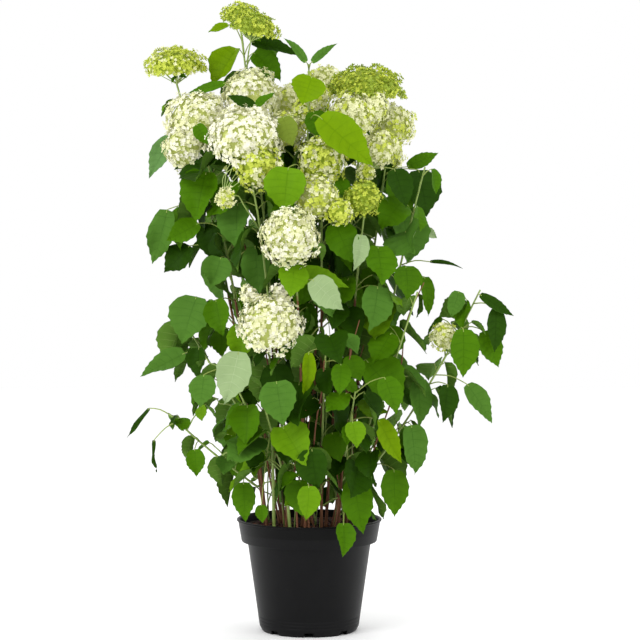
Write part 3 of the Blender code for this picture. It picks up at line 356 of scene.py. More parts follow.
# Named leaves on the show side, by the cane or shoot that bears them: the blade's start, its tip,
# its width share and its tone
namedLeaves = {
    "04": [
        ((-0.132, 0.075, 1.048), (-0.181, 0.045, 0.982), 0.62, "bright"),
        ((-0.103, 0.010, 1.054), (-0.017, -0.010, 1.038), 0.30, "dark"),
        ((-0.100, 0.025, 1.036), (-0.046, 0.015, 0.992), 0.62, "mid"),
        ((-0.142, -0.040, 1.080), (-0.178, -0.050, 1.068), 0.42, "bright"),
    ],
    "08": [
        ((-0.005, -0.090, 1.010), (-0.037, -0.100, 1.056), 0.30, "blue"),
        ((0.005, -0.090, 1.010), (0.047, -0.100, 1.045), 0.30, "blue"),
        ((0.005, -0.090, 0.985), (-0.010, -0.115, 0.940), 1.12, "bright"),
        ((0.018, -0.122, 0.914), (0.112, -0.150, 0.834), 0.50, "bright"),
        ((-0.035, -0.160, 0.825), (-0.045, -0.175, 0.750), 0.94, "fresh"),
        ((-0.035, 0.020, 0.880), (-0.025, 0.000, 0.825), 0.90, "dark"),
        # this leaf is painted the olive of the shaded heads round it: painted shade
        ((-0.045, -0.100, 0.915), (-0.030, -0.120, 0.865), 0.70, "olive"),
    ],
    "03": [
        ((-0.250, 0.060, 0.890), (-0.290, 0.030, 0.815), 0.42, "sage"),
        ((-0.225, 0.040, 0.760), (-0.245, 0.010, 0.690), 0.70, "mid"),
        ((-0.255, 0.020, 0.755), (-0.280, 0.000, 0.660), 0.50, "blue"),
        ((-0.215, 0.030, 0.690), (-0.260, 0.010, 0.645), 0.75, "dark"),
    ],
    "02": [
        ((-0.180, -0.070, 0.820), (-0.205, -0.100, 0.740), 0.80, "mid"),
        ((-0.195, -0.050, 0.730), (-0.250, -0.070, 0.700), 0.65, "mid"),
        ((-0.155, -0.070, 0.670), (-0.170, -0.090, 0.620), 0.95, "blue"),
        ((-0.165, -0.050, 0.595), (-0.155, -0.080, 0.535), 0.70, "mid"),
    ],
    "06": [
        ((-0.125, -0.070, 0.765), (-0.135, -0.100, 0.690), 0.76, "blue"),
        ((-0.095, -0.060, 0.690), (-0.090, -0.080, 0.605), 0.60, "blue"),
    ],
    "l": [
        ((-0.200, -0.030, 0.600), (-0.230, -0.060, 0.525), 0.92, "blue"),
        ((-0.220, -0.040, 0.500), (-0.300, -0.060, 0.465), 0.50, "blue"),
        ((-0.195, -0.050, 0.510), (-0.200, -0.070, 0.455), 0.65, "dark"),
    ],
    "a": [
        ((-0.120, -0.170, 0.510), (-0.140, -0.200, 0.425), 0.65, "pale"),
        ((-0.180, -0.170, 0.470), (-0.185, -0.200, 0.420), 0.80, "blue"),
    ],
    "b": [
        ((-0.055, -0.190, 0.460), (-0.045, -0.220, 0.390), 0.82, "blue"),
        ((-0.020, -0.140, 0.360), (-0.030, -0.160, 0.320), 0.70, "mid"),
    ],
    "14": [
        ((0.214, -0.030, 0.662), (0.272, -0.040, 0.662), 0.16, "dark"),
        ((0.170, -0.060, 0.655), (0.180, -0.080, 0.600), 0.95, "mid"),
        ((0.205, -0.020, 0.635), (0.220, -0.040, 0.570), 0.40, "mid"),
    ],
    "12": [
        ((0.170, 0.010, 0.745), (0.180, -0.020, 0.660), 0.85, "blue"),
        ((0.196, 0.020, 0.826), (0.218, 0.000, 0.748), 0.86, "dark"),
        ((0.176, 0.030, 0.832), (0.230, 0.020, 0.858), 0.44, "mid"),
    ],
    "10": [
        ((0.120, -0.100, 0.620), (0.115, -0.130, 0.545), 0.75, "blue"),
        ((0.120, -0.110, 0.690), (0.130, -0.140, 0.625), 0.80, "mid"),
        ((0.150, -0.060, 0.825), (0.175, -0.080, 0.760), 0.70, "dark"),
        ((0.090, -0.130, 0.710), (0.085, -0.150, 0.650), 0.48, "pale"),
    ],
    "09": [((0.045, -0.120, 0.730), (0.075, -0.150, 0.665), 0.72, "mid")],
    "n": [
        ((0.140, -0.040, 0.550), (0.135, -0.060, 0.485), 0.90, "mid"),
        ((0.195, -0.040, 0.455), (0.200, -0.060, 0.370), 0.55, "blue"),
    ],
    "07": [
        ((-0.025, -0.140, 0.645), (0.070, -0.155, 0.625), 0.40, "fresh"),
        ((0.006, -0.190, 0.634), (0.058, -0.210, 0.582), 0.62, "pale"),
    ],
    "01": [((-0.115, -0.130, 0.555), (-0.120, -0.150, 0.490), 0.70, "fresh")],
    "far_right": [
        ((0.270, -0.090, 0.545), (0.275, -0.110, 0.465), 0.65, "mid"),
        ((0.310, -0.050, 0.540), (0.335, -0.070, 0.480), 0.65, "mid"),
        ((0.330, -0.060, 0.580), (0.330, -0.080, 0.505), 0.48, "dark"),
        ((0.300, -0.070, 0.605), (0.360, -0.080, 0.570), 0.30, "dark"),
        ((0.265, -0.050, 0.610), (0.250, -0.070, 0.565), 0.60, "blue"),
        ((0.245, -0.060, 0.445), (0.240, -0.080, 0.380), 0.60, "dark"),
        ((0.280, -0.040, 0.445), (0.330, -0.060, 0.385), 0.50, "blue"),
        ((0.180, -0.070, 0.375), (0.195, -0.090, 0.290), 0.58, "blue"),
        ((0.150, -0.060, 0.295), (0.155, -0.090, 0.220), 0.64, "mid"),
    ],
    "d": [
        ((0.120, -0.130, 0.390), (0.160, -0.145, 0.315), 0.40, "bright"),
        ((0.080, -0.110, 0.285), (0.090, -0.140, 0.195), 0.58, "mid"),
        ((0.075, -0.180, 0.390), (0.085, -0.200, 0.350), 0.80, "fresh"),
        ((0.130, -0.160, 0.465), (0.155, -0.180, 0.405), 0.70, "mid"),
    ],
    "e": [((0.060, -0.140, 0.210), (0.065, -0.170, 0.160), 0.60, "mid")],
    "c": [((0.000, -0.180, 0.280), (0.000, -0.200, 0.225), 0.70, "fresh")],
    "m": [
        ((0.000, -0.190, 0.510), (0.000, -0.200, 0.430), 0.30, "bright"),
        ((0.055, -0.180, 0.490), (0.055, -0.200, 0.440), 0.65, "mid"),
    ],
    "low_left": [
        ((-0.281, -0.075, 0.405), (-0.322, -0.085, 0.354), 0.15, "dark"),
        ((-0.272, -0.085, 0.350), (-0.274, -0.095, 0.294), 0.15, "dark"),
        ((-0.115, -0.080, 0.275), (-0.115, -0.100, 0.210), 0.62, "mid"),
        ((-0.200, -0.100, 0.335), (-0.195, -0.120, 0.290), 0.68, "mid"),
    ],
}


def quadratic(path, share):
    start, bend, end = path
    return start.lerp(bend, share).lerp(bend.lerp(end, share), share)


def headingAt(path, share):
    start, bend, end = path
    return (bend - start).lerp(end - bend, share).normalized()


def canePath(foot, top):
    start = Vector((*foot, potSize["soilLevel"] + potSize["gap"]))
    end = Vector(top)
    bend = start.lerp(end, caneRule["bend"])
    bend.z = 0.5 * (start.z + end.z)
    return start, bend, end


def rising(height):
    return Vector((0.0, 0.0, height))


def levelVector(bearing):
    return Vector((math.cos(math.radians(bearing)), math.sin(math.radians(bearing)), 0.0))


def facing(bearing, tilt):
    lean = math.radians(tilt)
    return levelVector(bearing) * math.sin(lean) + rising(math.cos(lean))


def outward(point):
    axis = crownSpace["axis"]
    return Vector((point.x - axis.x, point.y - axis.y, 0.0)).normalized()


# Side and normal of a frame whose first axis is forward and whose normal leans towards hint
def squareFrame(forward, hint):
    normal = hint - forward * hint.dot(forward)
    if normal.length < 1e-4:
        normal = forward.orthogonal()
    normal.normalize()
    return normal.cross(forward), normal


# The matrix that puts a shape at a place with these directions as its axes
def placing(side, normal, forward, middle):
    place = Matrix((side, normal, forward)).transposed().to_4x4()
    place.translation = middle
    return place


def taper(start, end, count):
    return [start + (end - start) * step / (count - 1) for step in range(count)]


# The point at a share of a polyline's length
def alongPoints(points, share):
    lengths = [(b - a).length for a, b in zip(points, points[1:])]
    left = share * sum(lengths)
    for start, end, length in zip(points, points[1:], lengths):
        if left <= length:
            return start.lerp(end, left / length)
        left -= length
    return points[-1].copy()


def shareAtHeight(path, height):
    low, high = 0.0, 1.0
    for _ in range(30):
        share = (low + high) / 2
        low, high = (share, high) if quadratic(path, share).z < height else (low, share)
    return share


# A three-sided petiole that opens into a folded, arching blade: a loft between unlike sections
def leafSolid(leaf, grow=0.0, rootShare=0.0):
    forward = leaf["along"]
    side, normal = squareFrame(forward, leaf["normal"])
    length = leaf["length"]
    halfWidth = 0.5 * length * leaf["width"] + grow
    halfThick = 0.5 * length * leafRule["thickness"] + leafRule["thickGrow"] * grow
    root = leaf["root"].lerp(leaf["base"], rootShare)
    stalk = (leaf["base"] - root).normalized()
    mitre = (stalk + forward).normalized()
    points = []
    ends = ((root, stalk, "petioleRootRadius"), (leaf["base"], mitre, "petioleRadius"))
    for centre, way, key in ends:
        across, up = squareFrame(way, normal)
        radius = leafRule[key] + grow
        across, up = across * radius, up * radius
        points += [centre + 0.5 * up + across, centre + 0.5 * up - across, centre - up]
    for along, wide in leafRule["rim"]:
        lift = leafRule["fold"] * abs(wide) - leafRule["arch"] * along * along
        middle = leaf["base"] + forward * (length + grow) * along
        points.append(middle + side * halfWidth * wide + normal * lift * length)
    middle = leaf["base"] + forward * leafRule["thickAt"] * length
    middle = middle - normal * leafRule["arch"] * length * leafRule["thickSink"]
    points += [middle + normal * halfThick, middle - normal * halfThick]
    upper = [3, 6, 7, 8, 9, 10, 4]
    lower = upper + [5]
    faces = [(0, 1, 2), (0, 3, 4), (0, 4, 1), (1, 4, 5), (1, 5, 2), (2, 5, 3), (2, 3, 0)]
    faces += [(upper[i], upper[(i + 1) % 7], 11) for i in range(7)]
    faces += [(lower[(i + 1) % 8], lower[i], 12) for i in range(8)]
    return points, faces


# True where two faces that share no corner cut each other
def crossesItself(tree, faces):
    return any(not set(faces[first]) & set(faces[second]) for first, second in tree.overlap(tree))


# The points and faces as a bmesh whose faces point outwards
def solidMesh(points, faces):
    shape = bmesh.new()
    corners = [shape.verts.new(point) for point in points]
    for face in faces:
        shape.faces.new([corners[i] for i in face])
    bmesh.ops.recalc_face_normals(shape, faces=shape.faces)
    return shape


# A tapering limb through the points, flat at both ends
def limb(points, radii, sides):
    shape = bmesh.new()
    normal = Vector((0.0, -1.0, 0.2))
    rings = []
    for index, (point, radius) in enumerate(zip(points, radii)):
        before = points[max(index - 1, 0)]
        after = points[min(index + 1, len(points) - 1)]
        forward = (after - before).normalized()
        side, normal = squareFrame(forward, normal)
        place = placing(side, normal, forward, point)
        rings.append(bmesh.ops.create_circle(shape, segments=sides, radius=radius, matrix=place)["verts"])
    for lower, upper in zip(rings, rings[1:]):
        for i in range(sides):
            shape.faces.new((lower[i - 1], lower[i], upper[i], upper[i - 1]))
    shape.faces.new(rings[0])
    shape.faces.new(rings[-1])
    bmesh.ops.recalc_face_normals(shape, faces=shape.faces)
    return shape


# A point of a unit ball on a dome of this width and depth
def domed(point, width, depth):
    return Vector((0.5 * width * point.x, 0.5 * width * point.y, depth * point.z))


# A head's side and normal, and the way it faces
def headAxes(bearing, tilt):
    up = facing(bearing, tilt)
    side, normal = squareFrame(up, rising(1.0) if tilt > headRule["level"] else Vector((0.0, -1.0, 0.0)))
    return side, normal, up


# A lumpy dome of florets over the shallow cone of stalks that carries it
def flowerHead(middle, width, depth, bearing, tilt, seed):
    draw = random.Random(seed)
    shape = bmesh.new()
    segments, rings = headRule["segments"], headRule["rings"]
    bmesh.ops.create_uvsphere(shape, u_segments=segments, v_segments=rings, radius=1.0)
    lowerHalf = [corner for corner in shape.verts if corner.co.z < -0.01]
    bmesh.ops.delete(shape, geom=lowerHalf, context="VERTS")
    for corner in shape.verts:
        lump = 1.0 + draw.uniform(*headRule["lumps"])
        corner.co = domed(corner.co, width, depth) * lump
    rim = bmesh.ops.extrude_edge_only(shape, edges=[edge for edge in shape.edges if edge.is_boundary])
    drawnIn = [item for item in rim["geom"] if isinstance(item, bmesh.types.BMVert)]
    bmesh.ops.pointmerge(shape, verts=drawnIn, merge_co=(0.0, 0.0, -headRule["cone"] * width))
    bmesh.ops.triangulate(shape, faces=shape.faces)
    side, normal, up = headAxes(bearing, tilt)
    shape.transform(placing(side, normal, up, middle - up * (depth * headRule["sink"])))
    bmesh.ops.recalc_face_normals(shape, faces=shape.faces)
    return shape


def caneRadius(share, bare):
    return caneRule["footRadius"] + (caneRule["tipRadius"] - caneRule["footRadius"]) * share / bare


# Points and radii of a cane from its flat cut, flared foot to where its mass begins
def caneLimb(foot, top, bare):
    path = canePath(foot, top)
    shares = taper(0.0, bare, caneRule["rings"])
    points = [quadratic(path, share) for share in shares]
    radii = [caneRadius(share, bare) for share in shares]
    end = headingAt(path, bare)
    points[0:1] = [points[0], points[0] + rising(caneRule["stub"])]
    radii[0:1] = [caneRule["footFlare"] * radii[0], radii[0]]
    points[-1:] = [points[-1] - end * caneRule["stub"], points[-1]]
    radii[-1:] = [radii[-1], radii[-1]]
    return points, radii


# Where a stalk ends, well inside its flower head, and the point below that it rises to
def headAnchor(middle, width, depth, bearing, tilt):
    up = facing(bearing, tilt)
    rim = Vector(middle) - up * depth * headRule["sink"]
    below = rim - up * (headRule["cone"] * width + 2 * caneRule["stub"])
    return rim - up * headRule["anchor"] * headRule["cone"] * width, below


# The leafy stem that carries on from a cane, into the head at its end where it has one
def crownStem(foot, top, bare, endHeads):
    path = canePath(foot, top)
    start = headingAt(path, bare)
    first = quadratic(path, bare)
    points = [first + start * potSize["gap"], first + start * (potSize["gap"] + caneRule["stub"])]
    points += [quadratic(path, share) for share in taper(bare, 1.0, caneRule["rings"])[1:]]
    for head in endHeads:
        inside, below = headAnchor(*head[2:])
        points[-1:] = [below.lerp(points[-1], 0.5), inside]
    return points, taper(caneRule["tipRadius"], caneRule["twigTipRadius"], len(points))


# A side shoot: square off the cane's side, then out and up to its tip
def shootStem(cane, height, tip, bow):
    foot, top, bare = canes[cane][:3]
    path = canePath(foot, top)
    share = shareAtHeight(path, height)
    axis = headingAt(path, share)
    away = Vector(tip) - quadratic(path, share)
    away.z = 0.0
    away = (away - axis * away.dot(axis)).normalized()
    start = quadratic(path, share) + away * (caneRadius(share, bare) + potSize["gap"])
    leave = start + away * caneRule["stub"]
    bend = leave.lerp(Vector(tip), caneRule["shootBend"])
    bend.z += bow
    curve = (leave, bend, Vector(tip))
    points = [start] + [quadratic(curve, step) for step in taper(0.0, 1.0, caneRule["rings"])]
    return points, taper(caneRule["twigRadius"], caneRule["twigTipRadius"], len(points))


# A side stalk from the stem up into its flower head
def stalkLimb(stem, head):
    root = alongPoints(stem, head[1])
    inside, below = headAnchor(*head[2:])
    bend = root.lerp(below, caneRule["stalkBend"])
    bend.z = max(bend.z, root.z + caneRule["stalkRise"] * (below - root).length)
    curve = (root, bend, below)
    points = [quadratic(curve, step) for step in taper(0.0, 1.0, 4)] + [inside]
    return points, taper(caneRule["twigTipRadius"], leafRule["petioleRadius"], len(points))


# What a new leaf is tested against: a shape, who owns it, and the ball round it
def solidBody(owner, shape):
    low = Vector([min(corner.co[axis] for corner in shape.verts) for axis in range(3)])
    high = Vector([max(corner.co[axis] for corner in shape.verts) for axis in range(3)])
    tree = BVHTree.FromBMesh(shape)
    shape.free()
    return {"owner": owner, "tree": tree, "middle": (low + high) / 2, "reach": (high - low).length / 2}


# The room a leaf keeps out of: the pot and the air inside its rim
def potGuard():
    shape = bmesh.new()
    radius = potSize["rimRadius"] + leafRule["clearance"]
    height = potSize["height"] + 2 * leafRule["clearance"]
    bmesh.ops.create_cone(shape, cap_ends=True, segments=potSize["steps"], radius1=radius, radius2=radius,
                          depth=height, matrix=Matrix.Translation(rising(0.5 * potSize["height"])))
    return shape


def crownRadius(height):
    steps = crownSpace["reach"]
    for (low, inner), (high, outer) in zip(steps, steps[1:]):
        if height <= high or high == steps[-1][0]:
            return inner + (outer - inner) * (height - low) / (high - low)


# True while every point keeps over the compost and within the crown's own outline
def insideSpace(points):
    for point in points:
        out = math.hypot(point.x - crownSpace["axis"].x, point.y - crownSpace["axis"].y)
        if point.z < potSize["soilLevel"] or out > crownRadius(point.z):
            return False
    return True


# True where a leaf would hang across one of the crown's open places
def shutsGap(blade):
    eye = crownSpace["standPoint"]
    for x, z, radius in crownSpace["skyGaps"]:
        middle = Vector((x, 0.0, z))
        roundIt = [middle + Matrix.Rotation(math.radians(90 * quarter), 3, "Y") @ Vector((radius, 0.0, 0.0))
                    for quarter in range(4)]
        if any(blade.ray_cast(eye, point - eye)[0] for point in (middle, *roundIt)):
            return True
    return False


def leafFits(mass, leaf, bodies, free, byRule):
    points, faces = leafSolid(leaf, leafRule["clearance"])
    if not free and not insideSpace(points):
        return False
    middle = (leaf["base"] + leaf["tip"]) / 2
    reach = leaf["length"] / 2 + leafRule["near"] + (leaf["base"] - leaf["root"]).length
    whole = BVHTree.FromPolygons(points, faces)
    if crossesItself(whole, faces) or (byRule and shutsGap(whole)):
        return False
    blade = BVHTree.FromPolygons(leafSolid(leaf, leafRule["clearance"], leafRule["rootShare"])[0], faces)
    for other in bodies:
        if (other["middle"] - middle).length > reach + other["reach"]:
            continue
        if (blade if other["owner"] == mass else whole).overlap(other["tree"]):
            return False
    return True


# A grown leaf joins what the next leaves are tested against
def keepLeaf(mass, leaf, bodies):
    bodies.append(solidBody(mass, solidMesh(*leafSolid(leaf, 0.0, leafRule["rootShare"]))))


# A leaf that leaves the stem on a bearing, rises on its stalk and droops from there
def ruleLeaf(root, bearing, length, droop, roll, stalk):
    level = levelVector(bearing)
    rise = math.radians(leafRule["petioleRise"])
    base = root + (level * math.cos(rise) + rising(math.sin(rise))) * stalk
    lean = math.radians(droop)
    along = level * math.cos(lean) - rising(math.sin(lean))
    normal = facing(bearing, droop)
    normal = normal + outward(base) * leafRule["outLean"] + along.cross(normal) * math.tan(math.radians(roll))
    return {"root": root, "base": base, "tip": base + along * length, "along": along, "normal": normal,
            "length": length, "width": leafRule["width"]}


# A leaf whose blade lies where its row says, on a petiole from the nearest part of the stem
def showLeaf(stem, base, tip, width):
    base, tip = Vector(base), Vector(tip)
    below = base - rising(showRule["rootDrop"])
    roots = [alongPoints(stem, share) for share in taper(*showRule["rootShares"])]
    root = min(roots, key=lambda point: (point - below).length)
    normal = outward(base) * showRule["outLean"] + Vector(showRule["hint"])
    return {"root": root, "base": base, "tip": tip, "along": (tip - base).normalized(), "normal": normal,
            "length": (tip - base).length, "width": width}


# Opposite pairs of leaves up a stem, each pair turned a quarter from the last
def growPairs(mass, stem, pairs, size, spin, bodies, free):
    draw = random.Random("leaves " + mass)
    last = leafRule["crownLastPair"] if mass.startswith("crown") else leafRule["lastPair"]
    first, spread = leafRule["firstPair"], leafRule["turnSpread"]
    grown = []
    for pair in range(pairs):
        share = first + (last - first) * pair / max(pairs - 1, 1)
        root = alongPoints(stem, share)
        away = outward(root)
        towards = math.degrees(math.atan2(away.y, away.x))
        for half in range(2):
            bearing = spin + 90 * pair + 180 * half + draw.uniform(-spread, spread)
            bearing = towards + ((bearing - towards + 180) % 360 - 180) * leafRule["turnOut"]
            length = size * draw.uniform(*leafRule["size"]) * (1.0 - leafRule["topShrink"] * share)
            stalk = length * draw.uniform(*leafRule["petiole"])
            droop = draw.uniform(*leafRule["droop"])
            roll = draw.uniform(-leafRule["rollSpread"], leafRule["rollSpread"])
            for turn, dip, scale in leafRule["tries"]:
                leaf = ruleLeaf(root, bearing + turn, length * scale, droop + dip, roll, stalk * scale)
                if leafFits(mass, leaf, bodies, free, True):
                    grown.append(leaf)
                    keepLeaf(mass, leaf, bodies)
                    break
    return grown


# Every mass with its stem, stalks, heads and leaves, grown in one order so that none touches another
def planPlant():
    masses = {}
    bodies = [solidBody("pot", potGuard())]
    for name, (foot, top, bare, pairs, size, spin) in canes.items():
        ends = [head for head in heads.values() if head[0] == name and head[1] == 1.0]
        stem = crownStem(foot, top, bare, ends)
        masses["crown_" + name] = {"key": name, "stem": stem, "pairs": (pairs, size, spin)}
        bodies.append(solidBody("cane_" + name, limb(*caneLimb(foot, top, bare), caneRule["sides"])))
    for name, (cane, height, tip, bow, pairs, size, spin) in shoots.items():
        stem = shootStem(cane, height, tip, bow)
        masses["shoot_" + name] = {"key": name, "stem": stem, "pairs": (pairs, size, spin)}
    for mass, plan in masses.items():
        plan.update(heads=[], stalks=[], leaves=[], twigs=[])
        bodies.append(solidBody(mass, limb(*plan["stem"], caneRule["twigSides"])))
        for index, head in enumerate(heads.values()):
            if head[0] != plan["key"]:
                continue
            plan["heads"].append((Vector(head[2]), *head[3:], index))
            bodies.append(solidBody(mass, flowerHead(*plan["heads"][-1])))
            if head[1] < 1.0:
                plan["stalks"].append(stalkLimb(plan["stem"][0], head))
                bodies.append(solidBody(mass, limb(*plan["stalks"][-1], caneRule["twigSides"])))
    for key, rows in namedLeaves.items():
        mass = ("crown_" if key in canes else "shoot_") + key
        for base, tip, width, tone in rows:
            leaf = showLeaf(masses[mass]["stem"][0], base, tip, width)
            leaf["tone"] = tone
            if leafFits(mass, leaf, bodies, True, False):
                masses[mass]["leaves"].append(leaf)
                keepLeaf(mass, leaf, bodies)
    for mass, plan in masses.items():
        free = plan["key"] in crownSpace["free"]
        plan["leaves"] += growPairs(mass, plan["stem"][0], *plan["pairs"], bodies, free)
    return masses, bodies


twigRule = {  # the finer growth: side twigs between the leaf pairs, each with a small pair at its end
    "spacing": 0.030, "length": (0.018, 0.055), "rise": (15.0, 60.0), "size": (0.50, 0.85), "spread": 62.0,
    "shares": (0.03, 0.92), "radii": (0.0015, 0.0012, 0.0010), "tries": 3, "topShrink": 0.3, "bow": 0.1,
    "turn": 137.5, "turnSpread": 20, "swingSpread": 25, "rollSpread": 35,
    "footSize": 0.070, "footShares": (0.10, 0.98), "footSpacing": 0.034,
    "clear": ((-0.156, 1.023, 0.020), (0.150, 0.728, 0.016), (0.165, 0.715, 0.016), (0.064, 0.890, 0.030),
              (-0.045, 0.800, 0.024), (-0.135, 0.640, 0.020), (0.094, 0.703, 0.016)),
}
smallLeaves = [  # bracts under the heads and small blades: cane, base, tip, width share, tone, longest stalk
    ("06", (-0.094, -0.104, 0.934), (-0.141, -0.110, 0.952), 0.38, "dark", 0.02),
    ("06", (-0.092, -0.104, 0.934), (-0.060, -0.110, 0.958), 0.42, "mid", 0.02),
    ("05", (-0.148, -0.030, 0.978), (-0.215, -0.035, 0.965), 0.26, "mid", 0.02),
    ("02", (-0.196, -0.090, 0.902), (-0.176, -0.100, 0.867), 0.62, "mid", 0.02),
    ("03", (-0.237, 0.020, 0.993), (-0.248, 0.010, 0.984), 0.55, "mid", 0.02),
    ("03", (-0.232, 0.020, 0.995), (-0.220, 0.010, 0.993), 0.55, "mid", 0.02),
    ("02", (-0.210, -0.030, 0.836), (-0.240, -0.035, 0.829), 0.45, "dark", 0.02),
    ("05", (-0.122, -0.060, 0.853), (-0.167, -0.070, 0.835), 0.62, "dark", 0.02),
    ("05", (-0.112, -0.050, 0.848), (-0.147, -0.060, 0.814), 0.70, "dark", 0.02),
    ("11", (0.114, -0.020, 0.948), (0.149, -0.030, 0.974), 0.50, "dark", 0.02),
    ("14", (0.206, 0.020, 0.719), (0.230, 0.020, 0.704), 0.60, "pale", 0.02),
    ("06", (-0.078, 0.020, 0.786), (-0.092, 0.020, 0.736), 0.70, "dark", 0.04),
    ("09", (0.073, 0.030, 0.872), (0.073, 0.030, 0.833), 0.80, "dark", 0.04),
    ("12", (0.141, 0.030, 0.840), (0.127, 0.030, 0.790), 0.70, "dark", 0.04),
    ("01", (-0.083, -0.112, 0.239), (-0.081, -0.118, 0.208), 0.72, "mid", 0.12),
    ("10", (0.068, -0.070, 0.262), (0.092, -0.090, 0.244), 0.80, "pale", 0.08),
]


# Side twigs along a stem, each with a small pair of leaves where there is room for them
def twigsAlong(mass, stem, size, shares, spacing, free):
    draw = random.Random("twigs " + mass)
    reach = sum((b - a).length for a, b in zip(stem, stem[1:])) * (shares[1] - shares[0])
    grownLeaves, twigs = [], []
    for index in range(int(reach / spacing)):
        share = draw.uniform(*shares)
        root = alongPoints(stem, share)
        bearing = index * twigRule["turn"] + draw.uniform(-twigRule["turnSpread"], twigRule["turnSpread"])
        rise = math.radians(draw.uniform(*twigRule["rise"]))
        out = levelVector(bearing) * math.cos(rise) + rising(math.sin(rise))
        end = root + out * draw.uniform(*twigRule["length"])
        length = size * draw.uniform(*twigRule["size"]) * (1 - twigRule["topShrink"] * share)
        grown = []
        for way in (-1, 1):
            for _ in range(twigRule["tries"]):
                swing = draw.uniform(-twigRule["swingSpread"], twigRule["swingSpread"])
                stalk, droop = length * draw.uniform(*leafRule["petiole"]), draw.uniform(*leafRule["droop"])
                roll = draw.uniform(-twigRule["rollSpread"], twigRule["rollSpread"])
                leaf = ruleLeaf(end, bearing + way * (twigRule["spread"] + swing), length, droop, roll, stalk)
                if leafFits(mass, leaf, bodies, free, True):
                    grown.append(leaf)
                    keepLeaf(mass, leaf, bodies)
                    break
        grownLeaves += grown
        if grown:
            bend = root.lerp(end, 0.5) + rising(twigRule["bow"]) * (end - root).length
            twigs.append(([root, bend, end], twigRule["radii"]))
    return grownLeaves, twigs


def growSmall():
    for key, base, tip, width, tone, stalk in smallLeaves:
        mass = "crown_" + key
        leaf = showLeaf(masses[mass]["stem"][0], base, tip, width)
        leaf["root"] = leaf["base"].lerp(leaf["root"], min(1.0, stalk / (leaf["base"] - leaf["root"]).length))
        leaf["tone"] = tone
        masses[mass]["leaves"].append(leaf)
        keepLeaf(mass, leaf, bodies)


def growTwigs():
    runs = []
    for name, (foot, top, bare, *_) in canes.items():
        stem = caneLimb(foot, top, bare)[0]
        runs.append(("cane_" + name, masses["crown_" + name], stem, twigRule["footSize"],
                     twigRule["footShares"], twigRule["footSpacing"], False))
    for mass, plan in masses.items():
        runs.append((mass, plan, plan["stem"][0], plan["pairs"][1],
                     twigRule["shares"], twigRule["spacing"], plan["key"] in crownSpace["free"]))
    for owner, plan, *run in runs:
        grown, twigs = twigsAlong(owner, *run)
        plan["leaves"] += grown
        plan["twigs"] += twigs


masses, bodies = planPlant()
print("plan grown as in the source:", sum(len(plan["leaves"]) for plan in masses.values()), "leaves")
growSmall()
crownSpace["skyGaps"] += twigRule["clear"]
growTwigs()
leaves = [leaf for plan in masses.values() for leaf in plan["leaves"]]
print("plan grown:", len(masses), "masses,", len(leaves), "leaves,", len(heads), "flower heads")


# Canes and stems

stemLook = {
    "greenCanes": ("01", "06", "14"), "brownUpTo": 0.60, "step": 0.008, "stalkStep": 0.006, "sideStep": 2,
    "swell": 0.22, "knotEvery": 0.085, "knotWidth": 0.006, "knotShifts": (17, 13, 29, 40),
    "ridge": 0.0003, "ridgeAcross": 420, "ridgeAlong": 26, "dent": 90, "dentShare": 0.4, "slim": 0.82,
}
youngLook = {
    "count": 2, "apart": (0.008, 0.036), "reach": (0.30, 0.75), "foot": 0.096, "radius": 0.0016,
    "thickness": (0.7, 1.2), "taper": 0.55, "green": 0.40, "waver": 0.010, "turn": 70, "lean": (0.02, 0.10),
    "steps": 6, "leanPower": 1.5, "shiftSteps": 9,
}


# A limb with finer points, swollen a little at its knots, which a shift in millimetres moves along it
def fineLimb(points, radii, step, knotShift):
    run = smoothRun([Vector(point) for point in points], step)
    lengths = np.concatenate([[0.0], np.cumsum([(b - a).length for a, b in zip(run, run[1:])])])
    corners = np.concatenate([[0.0], np.cumsum([(b - a).length for a, b in zip(points, points[1:])])])
    thick = np.interp(lengths / lengths[-1], corners / corners[-1], radii)
    apart = (lengths + knotShift * 0.001) % stemLook["knotEvery"]
    thick *= 1.0 + stemLook["swell"] * np.exp(-(apart / stemLook["knotWidth"]) ** 2)
    return run, list(thick)


# Lengthwise ridges and dents pressed into limbs along their normals
def ridged(mesh):
    across, along = stemLook["ridgeAcross"], stemLook["ridgeAlong"]
    for corner in mesh.vertices:
        place = corner.co
        ridge = noise.noise(Vector((place.x * across, place.y * across, place.z * along)))
        dent = noise.noise(place * stemLook["dent"])
        corner.co = place + corner.normal * stemLook["ridge"] * (ridge + stemLook["dentShare"] * dent)


def splitLimb(points, radii, height):  # the run below a height and the run above it
    cut = next((i for i, point in enumerate(points) if point.z > height), len(points))
    return (points[:cut + 1], radii[:cut + 1]), (points[max(cut - 1, 0):], radii[max(cut - 1, 0):])


# Thin young stems that rise beside each cane, and whether each is green
def youngStems():
    draw = random.Random("young stems")
    steps, made = youngLook["steps"], []
    for foot, top, *_ in canes.values():
        for _ in range(youngLook["count"]):
            bearing = draw.uniform(0, 360)
            start = Vector((*foot, 0.0)) + levelVector(bearing) * draw.uniform(*youngLook["apart"])
            share = draw.uniform(*youngLook["reach"])
            swing = draw.uniform(-youngLook["turn"], youngLook["turn"])
            lean = levelVector(bearing + swing) * draw.uniform(*youngLook["lean"])
            path = [quadratic(canePath(foot, top), share * step / steps)
                    + lean * (step / steps) ** youngLook["leanPower"] for step in range(steps + 1)]
            shift = start - Vector((path[0].x, path[0].y, 0.0))
            shift = Vector((shift.x, shift.y, 0.0))
            path = [point + shift * (1 - step / youngLook["shiftSteps"]) for step, point in enumerate(path)]
            for point in path[1:-1]:
                point += levelVector(draw.uniform(0, 360)) * draw.uniform(0.0, youngLook["waver"])
            thin = youngLook["radius"] * draw.uniform(*youngLook["thickness"])
            if math.hypot(path[0].x, path[0].y) < youngLook["foot"]:
                radii = list(np.linspace(thin, youngLook["taper"] * thin, len(path)))
                made.append((path, radii, draw.random() < youngLook["green"]))
    return made


